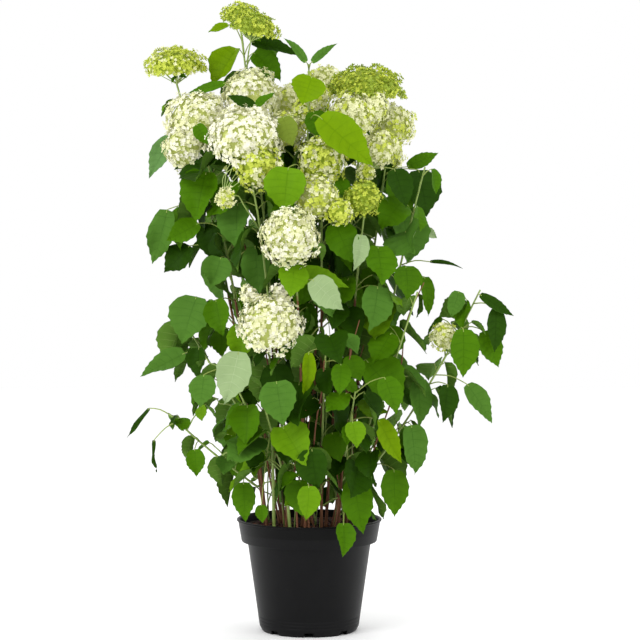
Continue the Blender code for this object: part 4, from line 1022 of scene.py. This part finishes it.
def makeStems():
    brown, green = [], []
    step = stemLook["step"]
    youngShift, caneShift, stemShift, stalkShift = stemLook["knotShifts"]
    for index, (path, radii, isGreen) in enumerate(youngStems()):
        (green if isGreen else brown).append(fineLimb(path, radii, step, index * youngShift))
    for index, (name, (foot, top, bare, *_)) in enumerate(canes.items()):
        home = green if name in stemLook["greenCanes"] else brown
        points, radii = caneLimb(foot, top, bare)
        radii = [radius * stemLook["slim"] for radius in radii]
        home.append(fineLimb(points, radii, step, index * caneShift))
    for index, (mass, plan) in enumerate(masses.items()):
        points, radii = fineLimb(*plan["stem"], step, index * stemShift)
        if mass.startswith("crown_") and plan["key"] not in stemLook["greenCanes"]:
            lower, upper = splitLimb(points, radii, stemLook["brownUpTo"])
            brown += [lower] if len(lower[0]) > 2 else []
            green += [upper] if len(upper[0]) > 2 else []
        else:
            green.append((points, radii))
        stalks = plan["stalks"] + plan["twigs"]
        green += [fineLimb(*stalk, stemLook["stalkStep"], stalkShift) for stalk in stalks]
    barkLook = mottled("caneBark", "946040", "66402a", 0.75, 120, 700, 0.6, (1.0, 1.0, 0.12))
    greenLook = mottled("greenStem", "9db35c", "7f9a48", 0.5, 80, 600, 0.3, (1.0, 1.0, 0.15))
    for name, limbs, look, slot, nodes in (
        ("brownCanes", brown, barkLook, "bark", caneNodes),
        ("greenStems", green, greenLook, "foliage", massNodes),
    ):
        mesh = limbMesh(name, limbs, stemLook["sideStep"])
        ridged(mesh)
        addPiece(name, mesh, look, nodes)


makeStems()


# Leaves

bladeLook = {
    "rows": 14, "columns": 4, "half": 0.00025, "veinLift": 0.00025, "midribWidth": 0.024, "midribTaper": 1.05,
    "veinWidth": 0.005, "veinStops": ((0.0, 1.0), (0.5, 0.7), (0.95, 0.1)),
    "tooth": 0.034, "toothLead": 0.012, "toothPower": 6, "toothFade": 0.3, "quilt": 0.042,
    "groove": 0.024, "groovePower": 3, "grooveFade": 0.5, "ruffle": 0.060, "ruffleWaves": 1.7, "lead": 1.5,
    "outline": (  # share of the midrib, and where its vein meets the rim: along, and across
        (0.00, 0.00, 0.00), (0.02, -0.020, 0.26), (0.07, 0.03, 0.52), (0.14, 0.12, 0.77),
        (0.22, 0.27, 0.97), (0.32, 0.42, 1.03), (0.42, 0.55, 0.95), (0.53, 0.66, 0.80),
        (0.64, 0.76, 0.58), (0.74, 0.84, 0.37), (0.83, 0.90, 0.21), (0.92, 0.95, 0.10), (1.00, 1.00, 0.00),
    ),
    "grain": (70, 1400), "shine": 0.05,
}
bladeRanges = {  # how each blade may ruffle, curl, fold and twist
    "wave": (-1.0, 1.0), "phase": (0.0, 1.0), "curl": (0.6, 2.8), "folds": (0.08, 0.20, 0.34, 0.50),
    "foldSpread": (-0.04, 0.08), "twist": (-0.6, 0.6),
}
leafTones = {  # upper side: colour, darker patches, roughness
    "bright": ("6f9202", "628402", 0.50), "fresh": ("669010", "588208", 0.52),
    "mid": ("4a7606", "3e6802", 0.52), "blue": ("507a2a", "446c20", 0.55), "dark": ("284a04", "1f3c02", 0.48),
    # the olive tone is painted shade, a green leaf in shadow
    "sage": ("689052", "5c8446", 0.58), "olive": ("768a30", "667a24", 0.55),
}
shadedVeinTones = {  # the sunk side veins and midrib, painted a little darker than the blade as painted shade in their grooves
    "bright": ("678b02", "5c8002"), "fresh": ("5d870c", "527c05"), "mid": ("426c04", "386002"),
    "blue": ("477024", "3d661c"), "dark": ("234302", "1c3802"), "sage": ("5e8648", "547a3e"),
    "olive": ("6c8028", "60721e"),
}
undersideTones = {  # blade and ribs: most are painted the yellow-green of light let through the leaf, a few turn their felted side to it
    "leafUndersides": ("5f8432", "527626", "7c9c4c", "70903f"),
    "paleUndersides": ("98ae7e", "8ba270", "a9bd90", "9cb182"),
}
toneShares = {  # how often each tone is dealt, by height, and among the canes: lighter at the top, darker low down and among the canes, partly the leaves' own colour and partly painted light and shade
    "top": (("bright", 0.35), ("fresh", 0.40), ("mid", 0.25)),
    "middle": (("fresh", 0.14), ("mid", 0.40), ("blue", 0.16), ("dark", 0.30)),
    "low": (("bright", 0.04), ("fresh", 0.16), ("mid", 0.40), ("blue", 0.14), ("dark", 0.26)),
    "inner": (("mid", 0.40), ("dark", 0.60)),
}
toneZones = {"top": 0.93, "middle": 0.42, "innerTop": 0.9, "innerRadius": 0.10}
toneSpots = (  # unnamed blades of one tone: x, z, radius and the tone
    (0.174, 0.706, 0.022, "blue"), (0.010, 0.390, 0.050, "dark"), (-0.028, 0.647, 0.014, "fresh"),
    (0.134, 0.534, 0.016, "blue"),
)
petioleLook = {"bow": 0.10, "into": 0.06, "step": 0.009, "radii": (0.0012, 0.0008)}


# Corners as (share along, share across) and faces of a blade whose ends close to a point
def bladePattern():
    shape = bmesh.new()
    bmesh.ops.create_grid(shape, x_segments=bladeLook["rows"], y_segments=bladeLook["columns"], size=1.0)
    for end in (-1.0, 1.0):
        row = [corner for corner in shape.verts if abs(corner.co.x - end) < weldSize]
        bmesh.ops.pointmerge(shape, verts=row, merge_co=(end, 0.0, 0.0))
    points, faces = pattern(shape)
    return np.stack([(points[:, 0] + 1) / 2, points[:, 1]], axis=1), faces


# Narrow ribbons on the blade's own rows: the midrib and the side veins
def veinPattern():
    shape = bmesh.new()
    rows = bladeLook["rows"]
    broad, fade = bladeLook["midribWidth"], bladeLook["midribTaper"]
    midrib = [(row / rows, 0.0, broad * (fade - row / rows)) for row in range(1, rows, 2)]
    runs = [[(0.0, 0.0, broad), *midrib]]
    for row in range(2, rows - 1, 2):
        for way in (-1, 1):
            runs.append([(row / rows, out * way, share * bladeLook["veinWidth"])
                         for out, share in bladeLook["veinStops"]])
    for index, run in enumerate(runs):
        sides = []
        for way in (-1, 1):
            spots = [(a, b + way * w, 0.0) if index == 0 else (a + way * w, b, 0.0) for a, b, w in run]
            sides.append([shape.verts.new(spot) for spot in spots])
        for i in range(len(run) - 1):
            shape.faces.new((sides[0][i], sides[1][i], sides[1][i + 1], sides[0][i + 1]))
    bmesh.ops.recalc_face_normals(shape, faces=shape.faces)
    points, faces = pattern(shape)
    return points[:, :2], faces


# Where a blade's shares lie on each leaf, lifted off its middle surface
def bladePlaces(shares, some, lift):
    look = bladeLook
    s, v = shares[None, :, 0], shares[None, :, 1]
    edge = np.abs(v)
    outline = np.array(look["outline"])
    ahead, wide = np.interp(s, outline[:, 0], outline[:, 1]), np.interp(s, outline[:, 0], outline[:, 2])
    odd = np.round(s * look["rows"]) % 2
    middle = np.sin(np.pi * s.clip(0, 1))
    saw = (1 - 2 * odd) * edge ** look["toothPower"] * middle ** look["toothFade"]
    length, width, wave, phase, flip, curl, fold, twist = (
        np.array([leaf[key] for leaf in some])[:, None]
        for key in ("length", "width", "wave", "phase", "flip", "curl", "fold", "twist"))
    x = s + (ahead - s) * edge ** look["lead"] + look["toothLead"] * saw
    y = 0.5 * width * wide * v * (1 + look["tooth"] * saw)
    h = fold * np.abs(y) - leafRule["arch"] * curl * x * np.abs(x)
    h = h + look["quilt"] * (odd - 0.5) * 4 * edge * (1 - edge) * wide
    h = h - look["groove"] * (1 - edge).clip(0) ** look["groovePower"] * middle ** look["grooveFade"]
    h = h + look["ruffle"] * wave * np.sin(2 * np.pi * (look["ruffleWaves"] * s + phase) + v) * edge ** 2
    turn = twist * x
    y, h = y * np.cos(turn) - h * np.sin(turn), y * np.sin(turn) + h * np.cos(turn)
    forward = np.array([leaf["along"][:] for leaf in some])
    frames = [squareFrame(leaf["along"], leaf["normal"]) for leaf in some]
    side = np.array([frame[0][:] for frame in frames])
    normal = np.array([frame[1][:] for frame in frames])
    base = np.array([leaf["base"][:] for leaf in some])
    spread = (x * length)[..., None] * forward[:, None] + (y * length)[..., None] * side[:, None]
    rise = h * length + lift * flip
    return base[:, None] + spread + rise[..., None] * normal[:, None]


def bladeMesh(name, shape, some, lift):
    shares, faces = shape
    points = bladePlaces(shares, some, lift)
    steps = np.arange(len(some))[:, None, None] * len(shares)
    turned = faces[:, ::-1] if lift < 0 else faces
    flipped = np.array([leaf["flip"] < 0 for leaf in some])
    both = np.where(flipped[:, None, None], turned[None, :, ::-1], turned[None]) + steps
    return meshOf(name, points, both.reshape(-1, 3))


# Each leaf's tone, and how it folds, curls, twists and ruffles
def dealTones():
    draw = random.Random("leaf tones")
    for leaf in leaves:
        height = leaf["base"].z
        zone = "top" if height > toneZones["top"] else "middle" if height > toneZones["middle"] else "low"
        inner = math.hypot(leaf["base"].x, leaf["base"].y) < toneZones["innerRadius"]
        shares = toneShares["inner" if inner and height < toneZones["innerTop"] else zone]
        middle = (leaf["base"] + leaf["tip"]) / 2
        for x, z, radius, tone in toneSpots:
            if math.hypot(middle.x - x, middle.z - z) < radius:
                shares = ((tone, 1.0),)
        dealt = draw.choices([tone for tone, _ in shares], [share for _, share in shares])[0]
        leaf["tone"] = leaf.get("tone") or dealt
        leaf["flip"] = -1.0 if leaf["tone"] == "pale" else 1.0
        for key in ("wave", "phase", "curl"):
            leaf[key] = draw.uniform(*bladeRanges[key])
        leaf["fold"] = draw.choice(bladeRanges["folds"]) + draw.uniform(*bladeRanges["foldSpread"])
        leaf["twist"] = draw.uniform(*bladeRanges["twist"])


# Two pieces for one side of some leaves: the blades, and the veins that stand a little off them
def addSide(blades, veins, some, side, look, veinTones, veinRoughness):
    lift = bladeLook["half"] + bladeLook["veinLift"]
    veinLook = mottled(veins[1], *veinTones, veinRoughness, Specular_IOR_Level=bladeLook["shine"])
    addPiece(blades, bladeMesh(blades, bladeShape, some, side * bladeLook["half"]), look)
    addPiece(veins[0], bladeMesh(veins[0], veinShape, some, side * lift), veinLook)


def makeLeaves():
    dealTones()
    look = bladeLook
    for tone, (first, second, roughness) in leafTones.items():
        some = [leaf for leaf in leaves if leaf["tone"] == tone or (tone == "mid" and leaf["tone"] == "pale")]
        upper = mottled(tone + "Leaf", first, second, roughness, *look["grain"], 0.35,
                        Specular_IOR_Level=look["shine"])
        addSide(tone + "Leaves", (tone + "Veins", tone + "Vein"), some, 1, upper, shadedVeinTones[tone], 0.55)
    for name, tones in undersideTones.items():
        some = [leaf for leaf in leaves if (leaf["tone"] == "pale") == name.startswith("pale")]
        under = mottled(name, *tones[:2], 0.65, *look["grain"], 0.4, Specular_IOR_Level=look["shine"])
        ribs = name.replace("Undersides", "Ribs")
        addSide(name, (ribs, ribs), some, -1, under, tones[2:], 0.6)
    stalks = []
    for leaf in leaves:
        root, base = leaf["root"], leaf["base"]
        bow = root.lerp(base, 0.5) + rising(petioleLook["bow"] * (base - root).length)
        into = base + leaf["along"] * petioleLook["into"] * leaf["length"]
        points = smoothRun([root, bow, base, into], petioleLook["step"])
        stalks.append((points, list(np.linspace(*petioleLook["radii"], len(points)))))
    look = mottled("petiole", "a3b45a", "8ea24a", 0.5)
    addPiece("petioles", limbMesh("petioles", stalks, 0), look)


bladeShape, veinShape = bladePattern(), veinPattern()
makeLeaves()


# Flower heads

goldenTurn = 2.39996  # the turn from each floret or ray to the next, in radians
headLook = {
    "openSize": 0.0044, "openSpacing": 0.0053, "budSize": 0.0034, "budSpacing": 0.0043, "sizes": (0.75, 1.2),
    "wrap": 102.0, "sunk": 0.10, "floretSink": 0.3, "turnSpread": 0.3, "jitter": 0.36, "lump": 0.26,
    "lumpScale": 2.4, "knob": 0.18, "knobScale": 6, "patchScale": 1.7, "patch": 0.5, "shift": (90, 50, 70),
    "core": 0.84, "coreSides": (20, 12), "coreUnder": 0.3, "glow": 0.06,
    "loose": ("lobe_left", "lobe_right"), "looseSpacing": 1.15, "looseSunk": 0.70,
}
rayLook = {
    "count": 14, "reach": 0.42, "rise": 0.25, "bend": 0.18, "stub": 0.006, "step": 0.008,
    "radii": (0.0010, 0.0006), "drooping": "small_droop", "slackStep": 0.006, "slackRadii": (0.0008, 0.0006),
    "slackRise": 0.4,
    "slack": (  # the drooping head's long stalks: root, and where each bends over
        ((-0.112, -0.120, 0.838), (-0.128, -0.135, 0.834)),
        ((-0.110, -0.120, 0.834), (-0.138, -0.140, 0.828)),
        ((-0.112, -0.122, 0.829), (-0.126, -0.140, 0.815)),
        ((-0.108, -0.124, 0.826), (-0.132, -0.140, 0.800)),
        ((-0.112, -0.118, 0.832), (-0.116, -0.140, 0.806)),
        ((-0.114, -0.118, 0.836), (-0.146, -0.138, 0.812)),
    ),
}
floretLook = {
    "petal": 0.46, "narrow": 0.92, "out": 0.54, "dip": 0.10, "near": 0.01, "bead": 0.15, "beadHeight": 0.16,
    "beadLift": 0.06, "openCup": 0.30, "budCup": 0.75,
}
floretTones = {
    "white": ("efeddc", "e2e2c2"), "cream": ("e3e3bc", "d3d697"), "lime": ("c8d24c", "b0be36"),
    "green": ("96ab28", "7f961a"),
}
coreTones = {"paleCores": ("bec672", "a2ae4c"), "limeCores": ("98aa28", "7e9218")}
headTones = {  # main tone, second tone, how much of the second, and whether the florets are open
    "lime_top": ("lime", "green", 0.4, False), "lime_tilted": ("green", "lime", 0.5, False),
    "lime_left": ("lime", "cream", 0.15, False), "cream_high": ("cream", "white", 0.40, True),
    "cream_left": ("cream", "white", 0.45, True), "cream_side": ("cream", "white", 0.45, True),
    "white_front": ("white", "cream", 0.18, True), "lime_under": ("lime", "cream", 0.35, True),
    "small_droop": ("cream", "lime", 0.2, False), "cream_low": ("cream", "white", 0.45, True),
    "pale_front": ("cream", "lime", 0.45, True), "lime_small": ("lime", "cream", 0.25, True),
    "lime_bright": ("green", "lime", 0.5, False), "lime_middle": ("lime", "cream", 0.45, True),
    "cream_core": ("cream", "lime", 0.3, True), "shade_left": ("cream", "lime", 0.4, True),
    "cream_link": ("cream", "lime", 0.3, True),
    "small_behind": ("cream", "lime", 0.2, True), "yellow_small": ("lime", "cream", 0.4, True),
    "lime_right": ("lime", "green", 0.55, False), "cream_behind": ("cream", "lime", 0.2, True),
    "cream_right": ("cream", "lime", 0.35, True), "cream_inner": ("cream", "lime", 0.3, True),
    "cream_edge": ("cream", "lime", 0.25, True), "bud_right": ("lime", "cream", 0.5, False),
    "cream_lowest": ("white", "cream", 0.45, True), "lobe_left": ("white", "cream", 0.4, True),
    "lobe_right": ("white", "cream", 0.4, True), "cream_far": ("cream", "lime", 0.4, True),
    "back_left": ("white", "cream", 0.45, True), "back_middle": ("white", "cream", 0.3, True),
    "back_right": ("cream", "lime", 0.3, True), "back_low": ("cream", "white", 0.5, True),
}


# Four rounded petals round a bead; cup lifts their tips
def floretPattern(cup):
    look = floretLook
    shape = bmesh.new()
    for quarter in range(4):
        made = bmesh.ops.create_circle(shape, cap_ends=True, cap_tris=True, segments=6, radius=look["petal"])
        petal = made["verts"]
        bmesh.ops.scale(shape, verts=petal, vec=(1.0, look["narrow"], 1.0))
        bmesh.ops.translate(shape, verts=petal, vec=(look["out"], 0.0, 0.0))
        for corner in petal:
            out, wide = corner.co.x, corner.co.y
            isMiddle = abs(out - look["out"]) < look["near"] and abs(wide) < look["near"]
            corner.co.z = cup * out * out - (look["dip"] if isMiddle else 0.0)
        turn = Matrix.Rotation(math.pi / 2 * quarter, 3, "Z")
        bmesh.ops.rotate(shape, verts=petal, cent=(0.0, 0.0, 0.0), matrix=turn)
    bmesh.ops.create_cone(shape, segments=4, radius1=look["bead"], radius2=0.0, depth=look["beadHeight"],
                          cap_ends=False, matrix=Matrix.Translation(rising(look["beadLift"])))
    return pattern(shape)


# A head's rim centre, and its side, normal and way it faces
def headFrame(middle, depth, bearing, tilt):
    side, normal, up = headAxes(bearing, tilt)
    return Vector(middle) - up * depth * headRule["sink"], side, normal, up


# Florets over a head's dome: their tone, place, three axes and size
def headFlorets(name, head, draw):
    middle, width, depth, bearing, tilt = head[2:]
    main, second, share, isOpen = headTones[name]
    rim, side, normal, up = headFrame(middle, depth, bearing, tilt)
    kind, loose, look = "open" if isOpen else "bud", name in headLook["loose"], headLook
    size, spacing = look[kind + "Size"], look[kind + "Spacing"] * (look["looseSpacing"] if loose else 1.0)
    sunk = look["looseSunk"] if loose else look["sunk"]
    wrap = 1 - math.cos(math.radians(look["wrap"]))
    area = math.pi * width * (0.5 * width + depth) * 0.5 * wrap
    count = int(area / spacing ** 2)
    wideShift, deepShift, patchShift = look["shift"]
    florets = []
    for index in range(count):
        high = 1 - wrap * (index + draw.random()) / count
        turn = index * goldenTurn + draw.uniform(-look["turnSpread"], look["turnSpread"])
        flat = math.sqrt(max(0.0, 1 - high * high))
        way = Vector((flat * math.cos(turn), flat * math.sin(turn), high))
        shift = Vector((width * wideShift, depth * deepShift, 0))
        lump = 1 + look["lump"] * noise.noise(way * look["lumpScale"] + shift)
        lump = lump + look["knob"] * noise.noise(way * look["knobScale"] + shift)
        lump -= draw.random() * sunk
        local = domed(way, width, depth) * lump
        slope = Vector((way.x / width * 2, way.y / width * 2, way.z / depth)).normalized()
        slope += Vector([draw.uniform(-1, 1) for _ in range(3)]) * look["jitter"]
        out = (side * slope.x + normal * slope.y + up * slope.z).normalized()
        across, over = squareFrame(out, Vector([draw.uniform(-1, 1) for _ in range(3)]))
        place = rim + side * local.x + normal * local.y + up * local.z
        grown = size * draw.uniform(*look["sizes"])
        patch = noise.noise(way * look["patchScale"] + rising(width * patchShift)) * look["patch"]
        tone = second if draw.random() < share + patch else main
        place = place - out * grown * look["floretSink"]
        florets.append((tone, isOpen, place, (across, over, out), grown))
    return florets


def glow(colour):  # painted glow: a little emission stands in for light that seeps through thin petals and lightens the shaded gaps between them
    return {"Emission_Color": tint(colour), "Emission_Strength": headLook["glow"]}


def headRays(name, head):  # thin stalks that fan from below a head to its florets
    middle, width, depth, bearing, tilt = head[2:]
    rim, side, normal, up = headFrame(middle, depth, bearing, tilt)
    foot = rim - up * headRule["cone"] * width
    rays = []
    for root, over in rayLook["slack"] if name == rayLook["drooping"] else ():
        inside = Vector(middle) + rising(rayLook["slackRise"] * depth)
        points = smoothRun([Vector(root), Vector(over), inside], rayLook["slackStep"])
        rays.append((points, list(np.linspace(*rayLook["slackRadii"], len(points)))))
    for index in range(rayLook["count"]):
        turn = index * goldenTurn
        reach = rayLook["reach"] * width * math.sqrt((index + 1) / rayLook["count"])
        end = rim + (side * math.cos(turn) + normal * math.sin(turn)) * reach + up * rayLook["rise"] * depth
        bend = foot.lerp(end, 0.5) + (end - foot - up * (end - foot).dot(up)) * rayLook["bend"]
        points = smoothRun([foot - up * rayLook["stub"], foot, bend, end], rayLook["step"])
        rays.append((points, list(np.linspace(*rayLook["radii"], len(points)))))
    return rays


# A ball under a head's florets, flattened below its rim
def growCore(core, width, depth, rim, side, normal, up):
    around, along = headLook["coreSides"]
    made = bmesh.ops.create_uvsphere(core, u_segments=around, v_segments=along, radius=headLook["core"])
    for corner in made["verts"]:
        low = min(corner.co.z, 0.0)
        height = depth * (corner.co.z - low) + headLook["coreUnder"] * depth * low
        corner.co = Vector((0.5 * width * corner.co.x, 0.5 * width * corner.co.y, height))
    bmesh.ops.transform(core, matrix=placing(side, normal, up, rim), verts=made["verts"])


def makeHeads():
    draw = random.Random("florets")
    florets, rays = [], []
    cores = {name: bmesh.new() for name in coreTones}
    for name, head in heads.items():
        florets += headFlorets(name, head, draw)
        rays += headRays(name, head)
        if name not in headLook["loose"]:
            core = cores["paleCores" if headTones[name][0] in ("white", "cream") else "limeCores"]
            growCore(core, *head[3:5], *headFrame(head[2], head[4], *head[5:]))
    for name, (first, second) in coreTones.items():
        # the cores get a painted glow
        look = mottled(name, first, second, 0.85, 200, **glow(first))
        addPiece(name, meshFrom(cores[name], name), look)
    look = mottled("headRay", "b9cc7e", "a2ba66", 0.6)
    addPiece("headRays", limbMesh("headRays", rays, 0), look)
    shapes = {True: floretPattern(floretLook["openCup"]), False: floretPattern(floretLook["budCup"])}
    for tone, (first, second) in floretTones.items():
        # the florets get the same painted glow
        look = mottled(tone + "Floret", first, second, 0.55, 300, 1500, 0.15, **glow(first))
        for isOpen in (True, False):
            some = [floret[2:] for floret in florets if floret[:2] == (tone, isOpen)]
            if some:
                name = tone + ("Florets" if isOpen else "Buds")
                places = [place[:] for place, _, _ in some]
                axes = [np.array([axis[:] for axis in frame]).T for _, frame, _ in some]
                sizes = [size for _, _, size in some]
                addPiece(name, stamped(name, shapes[isOpen], places, axes, sizes), look)


makeHeads()


# Pot

potLook = {
    "steps": 128, "notches": 8, "notchWidth": 0.024, "notchDepth": 0.022, "notchHeight": 0.0082,
    "notchTaper": 0.65, "edge": 0.0008, "ridges": 3, "ridgeStep": 0.006, "ridgeDepth": 0.0004,
    "ridgeHalf": 0.0008, "rimInset": 0.0012, "innerFoot": 0.0045, "innerRun": 0.009,
    # rim: a darker black painted on the rim above its height, as painted shade
    "body": ("0e0e0f", "131314"), "rim": "090909", "rimShadeFrom": 0.178, "sharpFrom": 40,
}


def spun(profile, steps):  # a shape of revolution, closed on the axis
    shape = bmesh.new()
    corners = [shape.verts.new((radius, 0.0, height)) for radius, height in profile]
    edges = [shape.edges.new(pair) for pair in zip(corners, corners[1:])]
    bmesh.ops.spin(shape, geom=corners + edges, axis=(0, 0, 1), cent=(0, 0, 0), steps=steps, angle=math.tau,
                   use_merge=True)
    bmesh.ops.remove_doubles(shape, verts=shape.verts, dist=weldSize)
    bmesh.ops.recalc_face_normals(shape, faces=shape.faces)
    return shape


# Radius and height round the pot's wall, from the middle of its floor inside to the middle of its foot
def potProfile():
    p, wall, edge = potSize, potSize["wall"], potLook["edge"]
    rim, top, lip = p["rimRadius"], p["height"], p["height"] - p["lipHeight"]
    inner, band, bandFoot = rim - wall - potLook["rimInset"], p["bandRadius"], p["bandFoot"]
    profile = [
        (0.0, wall), (p["footRadius"] - 0.8 * wall, wall),
        (p["baseRadius"] - wall, p["footHeight"] + 0.5 * wall), (p["wallRadius"] - wall, bandFoot - 0.001),
        (p["bandFootRadius"] - wall, bandFoot + potLook["innerFoot"]),
        (band - wall, lip - 0.001), (inner - edge, top - edge), (inner, top), (rim - edge, top),
        (rim, top - edge), (rim, lip + edge), (rim - edge, lip), (band + 0.0006, lip - 0.0004),
        (band, lip - 0.0016), (p["bandFootRadius"] + 0.0003, bandFoot + 0.0026),
        (p["bandFootRadius"] - 0.0006, bandFoot + 0.001), (p["wallRadius"] + 0.0016, bandFoot),
        (p["wallRadius"], bandFoot - 0.0024),
    ]
    half = potLook["ridgeHalf"]
    for ridge in range(potLook["ridges"], 0, -1):
        height = p["footHeight"] + ridge * potLook["ridgeStep"]
        share = (height - p["footHeight"]) / (bandFoot - p["footHeight"])
        radius = p["baseRadius"] + (p["wallRadius"] - p["baseRadius"]) * share
        dent = radius - potLook["ridgeDepth"]
        profile += [(radius, height + half), (dent, height), (radius, height - half)]
    profile += [
        (p["baseRadius"], p["footHeight"] + edge), (p["baseRadius"] - 0.4 * edge, p["footHeight"] - edge),
        (p["footRadius"] + edge, edge), (p["footRadius"], 0.0), (0.0, 0.0),
    ]
    return profile


def makePot():
    pot = bpy.data.objects.new("potBody", meshFrom(spun(potProfile(), potLook["steps"]), "potBody"))
    cutter = bmesh.new()
    for index in range(potLook["notches"]):
        made = bmesh.ops.create_cube(cutter, matrix=Matrix.Diagonal(
            (potLook["notchWidth"], potLook["notchDepth"], 2 * potLook["notchHeight"], 1.0)))["verts"]
        for corner in made:
            corner.co.x *= potLook["notchTaper"] if corner.co.z > 0 else 1.0
            corner.co.y -= potSize["baseRadius"]
        turn = Matrix.Rotation(math.tau * index / potLook["notches"], 3, "Z")
        bmesh.ops.rotate(cutter, verts=made, cent=(0, 0, 0), matrix=turn)
    knife = bpy.data.objects.new("notchCutter", meshFrom(cutter, "notchCutter"))
    for item in (pot, knife):
        bpy.context.scene.collection.objects.link(item)
    cut = pot.modifiers.new("Notches", "BOOLEAN")
    cut.operation = "DIFFERENCE"
    cut.object = knife
    bpy.context.view_layer.update()
    mesh = bpy.data.meshes.new_from_object(pot.evaluated_get(bpy.context.evaluated_depsgraph_get()))
    bpy.data.objects.remove(pot)
    bpy.data.objects.remove(knife)
    paint = Paint("blackPlastic")
    height = paint.node("ShaderNodeSeparateXYZ", {}, [paint.place], "Z")
    body = paint.blend(paint.noise(30), tint(potLook["body"][0]), tint(potLook["body"][1]))
    # painted shade: the rim above this height is painted a darker black than the body
    paintedRimShade = paint.node("ShaderNodeMath", {"operation": "GREATER_THAN"}, [height, potLook["rimShadeFrom"]])
    paint.bump(1200, 0.15)
    colour = paint.blend(paintedRimShade, body, tint(potLook["rim"]))
    look = paint.finish(Base_Color=colour, Roughness=0.42, Specular_IOR_Level=0.10)
    piece = addPiece("flowerPot", mesh, look, ("pot",))
    piece.data.set_sharp_from_angle(angle=math.radians(potLook["sharpFrom"]))


makePot()


# Compost

soilLook = {
    "rings": 26, "steps": 96, "inset": 0.0009, "depth": 0.02, "taper": 0.004, "swell": 0.0022, "sag": 0.6,
    "lumpScales": (55, 160), "flatPower": 8,
}
chipLook = {
    "tones": {"darkChips": ("40241a", "2a1610"), "redChips": ("6a3420", "4c2416")}, "count": 1100,
    "size": (0.0022, 0.0062), "edge": 0.0032, "margin": 0.003, "corners": (0.7, 1.15),
    "flat": (1.0, 0.6, 0.35), "sink": 0.001, "heights": (-0.001, 0.0012),
}


def soilRadius(height):  # of the pot's inner wall
    low, run = potSize["bandFoot"], potSize["height"] - potLook["innerRun"] - potSize["bandFoot"]
    share = (height - low - potLook["innerFoot"]) / run
    radius = potSize["bandFootRadius"]
    return radius + (potSize["bandRadius"] - radius) * share - potSize["wall"]


def makeSoil():
    level = potSize["soilLevel"]
    radius = soilRadius(level) - soilLook["inset"]
    top = [(radius * (i / soilLook["rings"]), level) for i in range(soilLook["rings"] + 1)]
    under = level - soilLook["depth"]
    shape = spun(top + [(radius - soilLook["taper"], under), (0.0, under)], soilLook["steps"])
    coarse, fine = soilLook["lumpScales"]
    for corner in shape.verts:
        if corner.co.z > level - 0.001:
            out = math.hypot(corner.co.x, corner.co.y) / radius
            rise = noise.noise(corner.co * coarse) + 0.5 * noise.noise(corner.co * fine)
            corner.co.z += soilLook["swell"] * (rise - soilLook["sag"]) * (1 - out ** soilLook["flatPower"])
    look = mottled("compost", "3a2016", "24130c", 0.95, 160, 500, 0.8)
    addPiece("compost", meshFrom(shape, "compost"), look, ("soil",))
    draw = random.Random("bark chips")
    for kind, (name, (first, second)) in enumerate(chipLook["tones"].items()):
        chip = bmesh.new()
        bmesh.ops.create_icosphere(chip, subdivisions=1, radius=1.0)
        for corner in chip.verts:
            corner.co *= draw.uniform(*chipLook["corners"])
        bmesh.ops.scale(chip, verts=chip.verts, vec=chipLook["flat"])
        places, axes, sizes = [], [], []
        for _ in range(chipLook["count"] // (1 + kind)):
            out = (radius - chipLook["edge"] - chipLook["margin"]) * math.sqrt(draw.random())
            turn = draw.uniform(0, math.tau)
            height = level - chipLook["sink"] + draw.uniform(*chipLook["heights"])
            places.append((out * math.cos(turn), out * math.sin(turn), height))
            up = Vector((draw.uniform(-0.5, 0.5), draw.uniform(-0.5, 0.5), 1.0)).normalized()
            side, ahead = squareFrame(up, Vector((draw.uniform(-1, 1), draw.uniform(-1, 1), 0.1)))
            axes.append(np.array([side[:], ahead[:], up[:]]).T)
            sizes.append(draw.uniform(*chipLook["size"]))
        mesh = stamped(name, pattern(chip), places, axes, sizes)
        addPiece(name, mesh, mottled(name, first, second, 0.9, 200, 600, 0.6))


makeSoil()


# Floor, light and camera

studio = {
    "floorSize": 12.0, "floorTint": "ffffff", "world": 1.0,
    "lamps": (  # place, aim, size, power
        ((-2.2, -2.6, 2.6), (0.0, 0.0, 0.6), 1.8, 60.0), ((2.6, -2.0, 1.8), (0.0, 0.0, 0.6), 2.0, 22.0),
        ((0.3, 1.6, 3.0), (0.0, 0.0, 0.8), 2.0, 25.0),
    ),
    "cameraPlace": (0.0193, -3.936, 0.716), "cameraDip": 2.309, "lens": 123.73, "sensor": 36.0,
}


def makeStudio():
    floor = bmesh.new()
    bmesh.ops.create_grid(floor, x_segments=1, y_segments=1, size=studio["floorSize"] / 2)
    plane = bpy.data.objects.new("studioFloor", meshFrom(floor, "studioFloor"))
    bpy.context.scene.collection.objects.link(plane)
    paint = Paint("studioFloor")
    plane.data.materials.append(paint.finish(Base_Color=tint(studio["floorTint"]), Roughness=0.9))
    world = bpy.data.worlds.new("studio")
    bpy.context.scene.world = world
    world.use_nodes = True
    background = world.node_tree.nodes["Background"].inputs
    background["Color"].default_value = (1.0, 1.0, 1.0, 1.0)
    background["Strength"].default_value = studio["world"]
    for index, (place, aim, size, power) in enumerate(studio["lamps"]):
        lamp = bpy.data.lights.new("softbox" + str(index + 1), "AREA")
        lamp.size = size
        lamp.energy = power
        holder = bpy.data.objects.new(lamp.name, lamp)
        holder.location = place
        holder.rotation_euler = (Vector(aim) - Vector(place)).to_track_quat("-Z", "Y").to_euler()
        bpy.context.scene.collection.objects.link(holder)
    camera = bpy.data.cameras.new("camera")
    camera.lens = studio["lens"]
    camera.sensor_width = studio["sensor"]
    camera.sensor_fit = "HORIZONTAL"
    eye = bpy.data.objects.new("camera", camera)
    eye.location = studio["cameraPlace"]
    eye.rotation_euler = (math.radians(90 - studio["cameraDip"]), 0.0, 0.0)
    bpy.context.scene.collection.objects.link(eye)
    bpy.context.scene.camera = eye
    bpy.context.scene.view_settings.view_transform = "Standard"


makeStudio()
print("studio set")
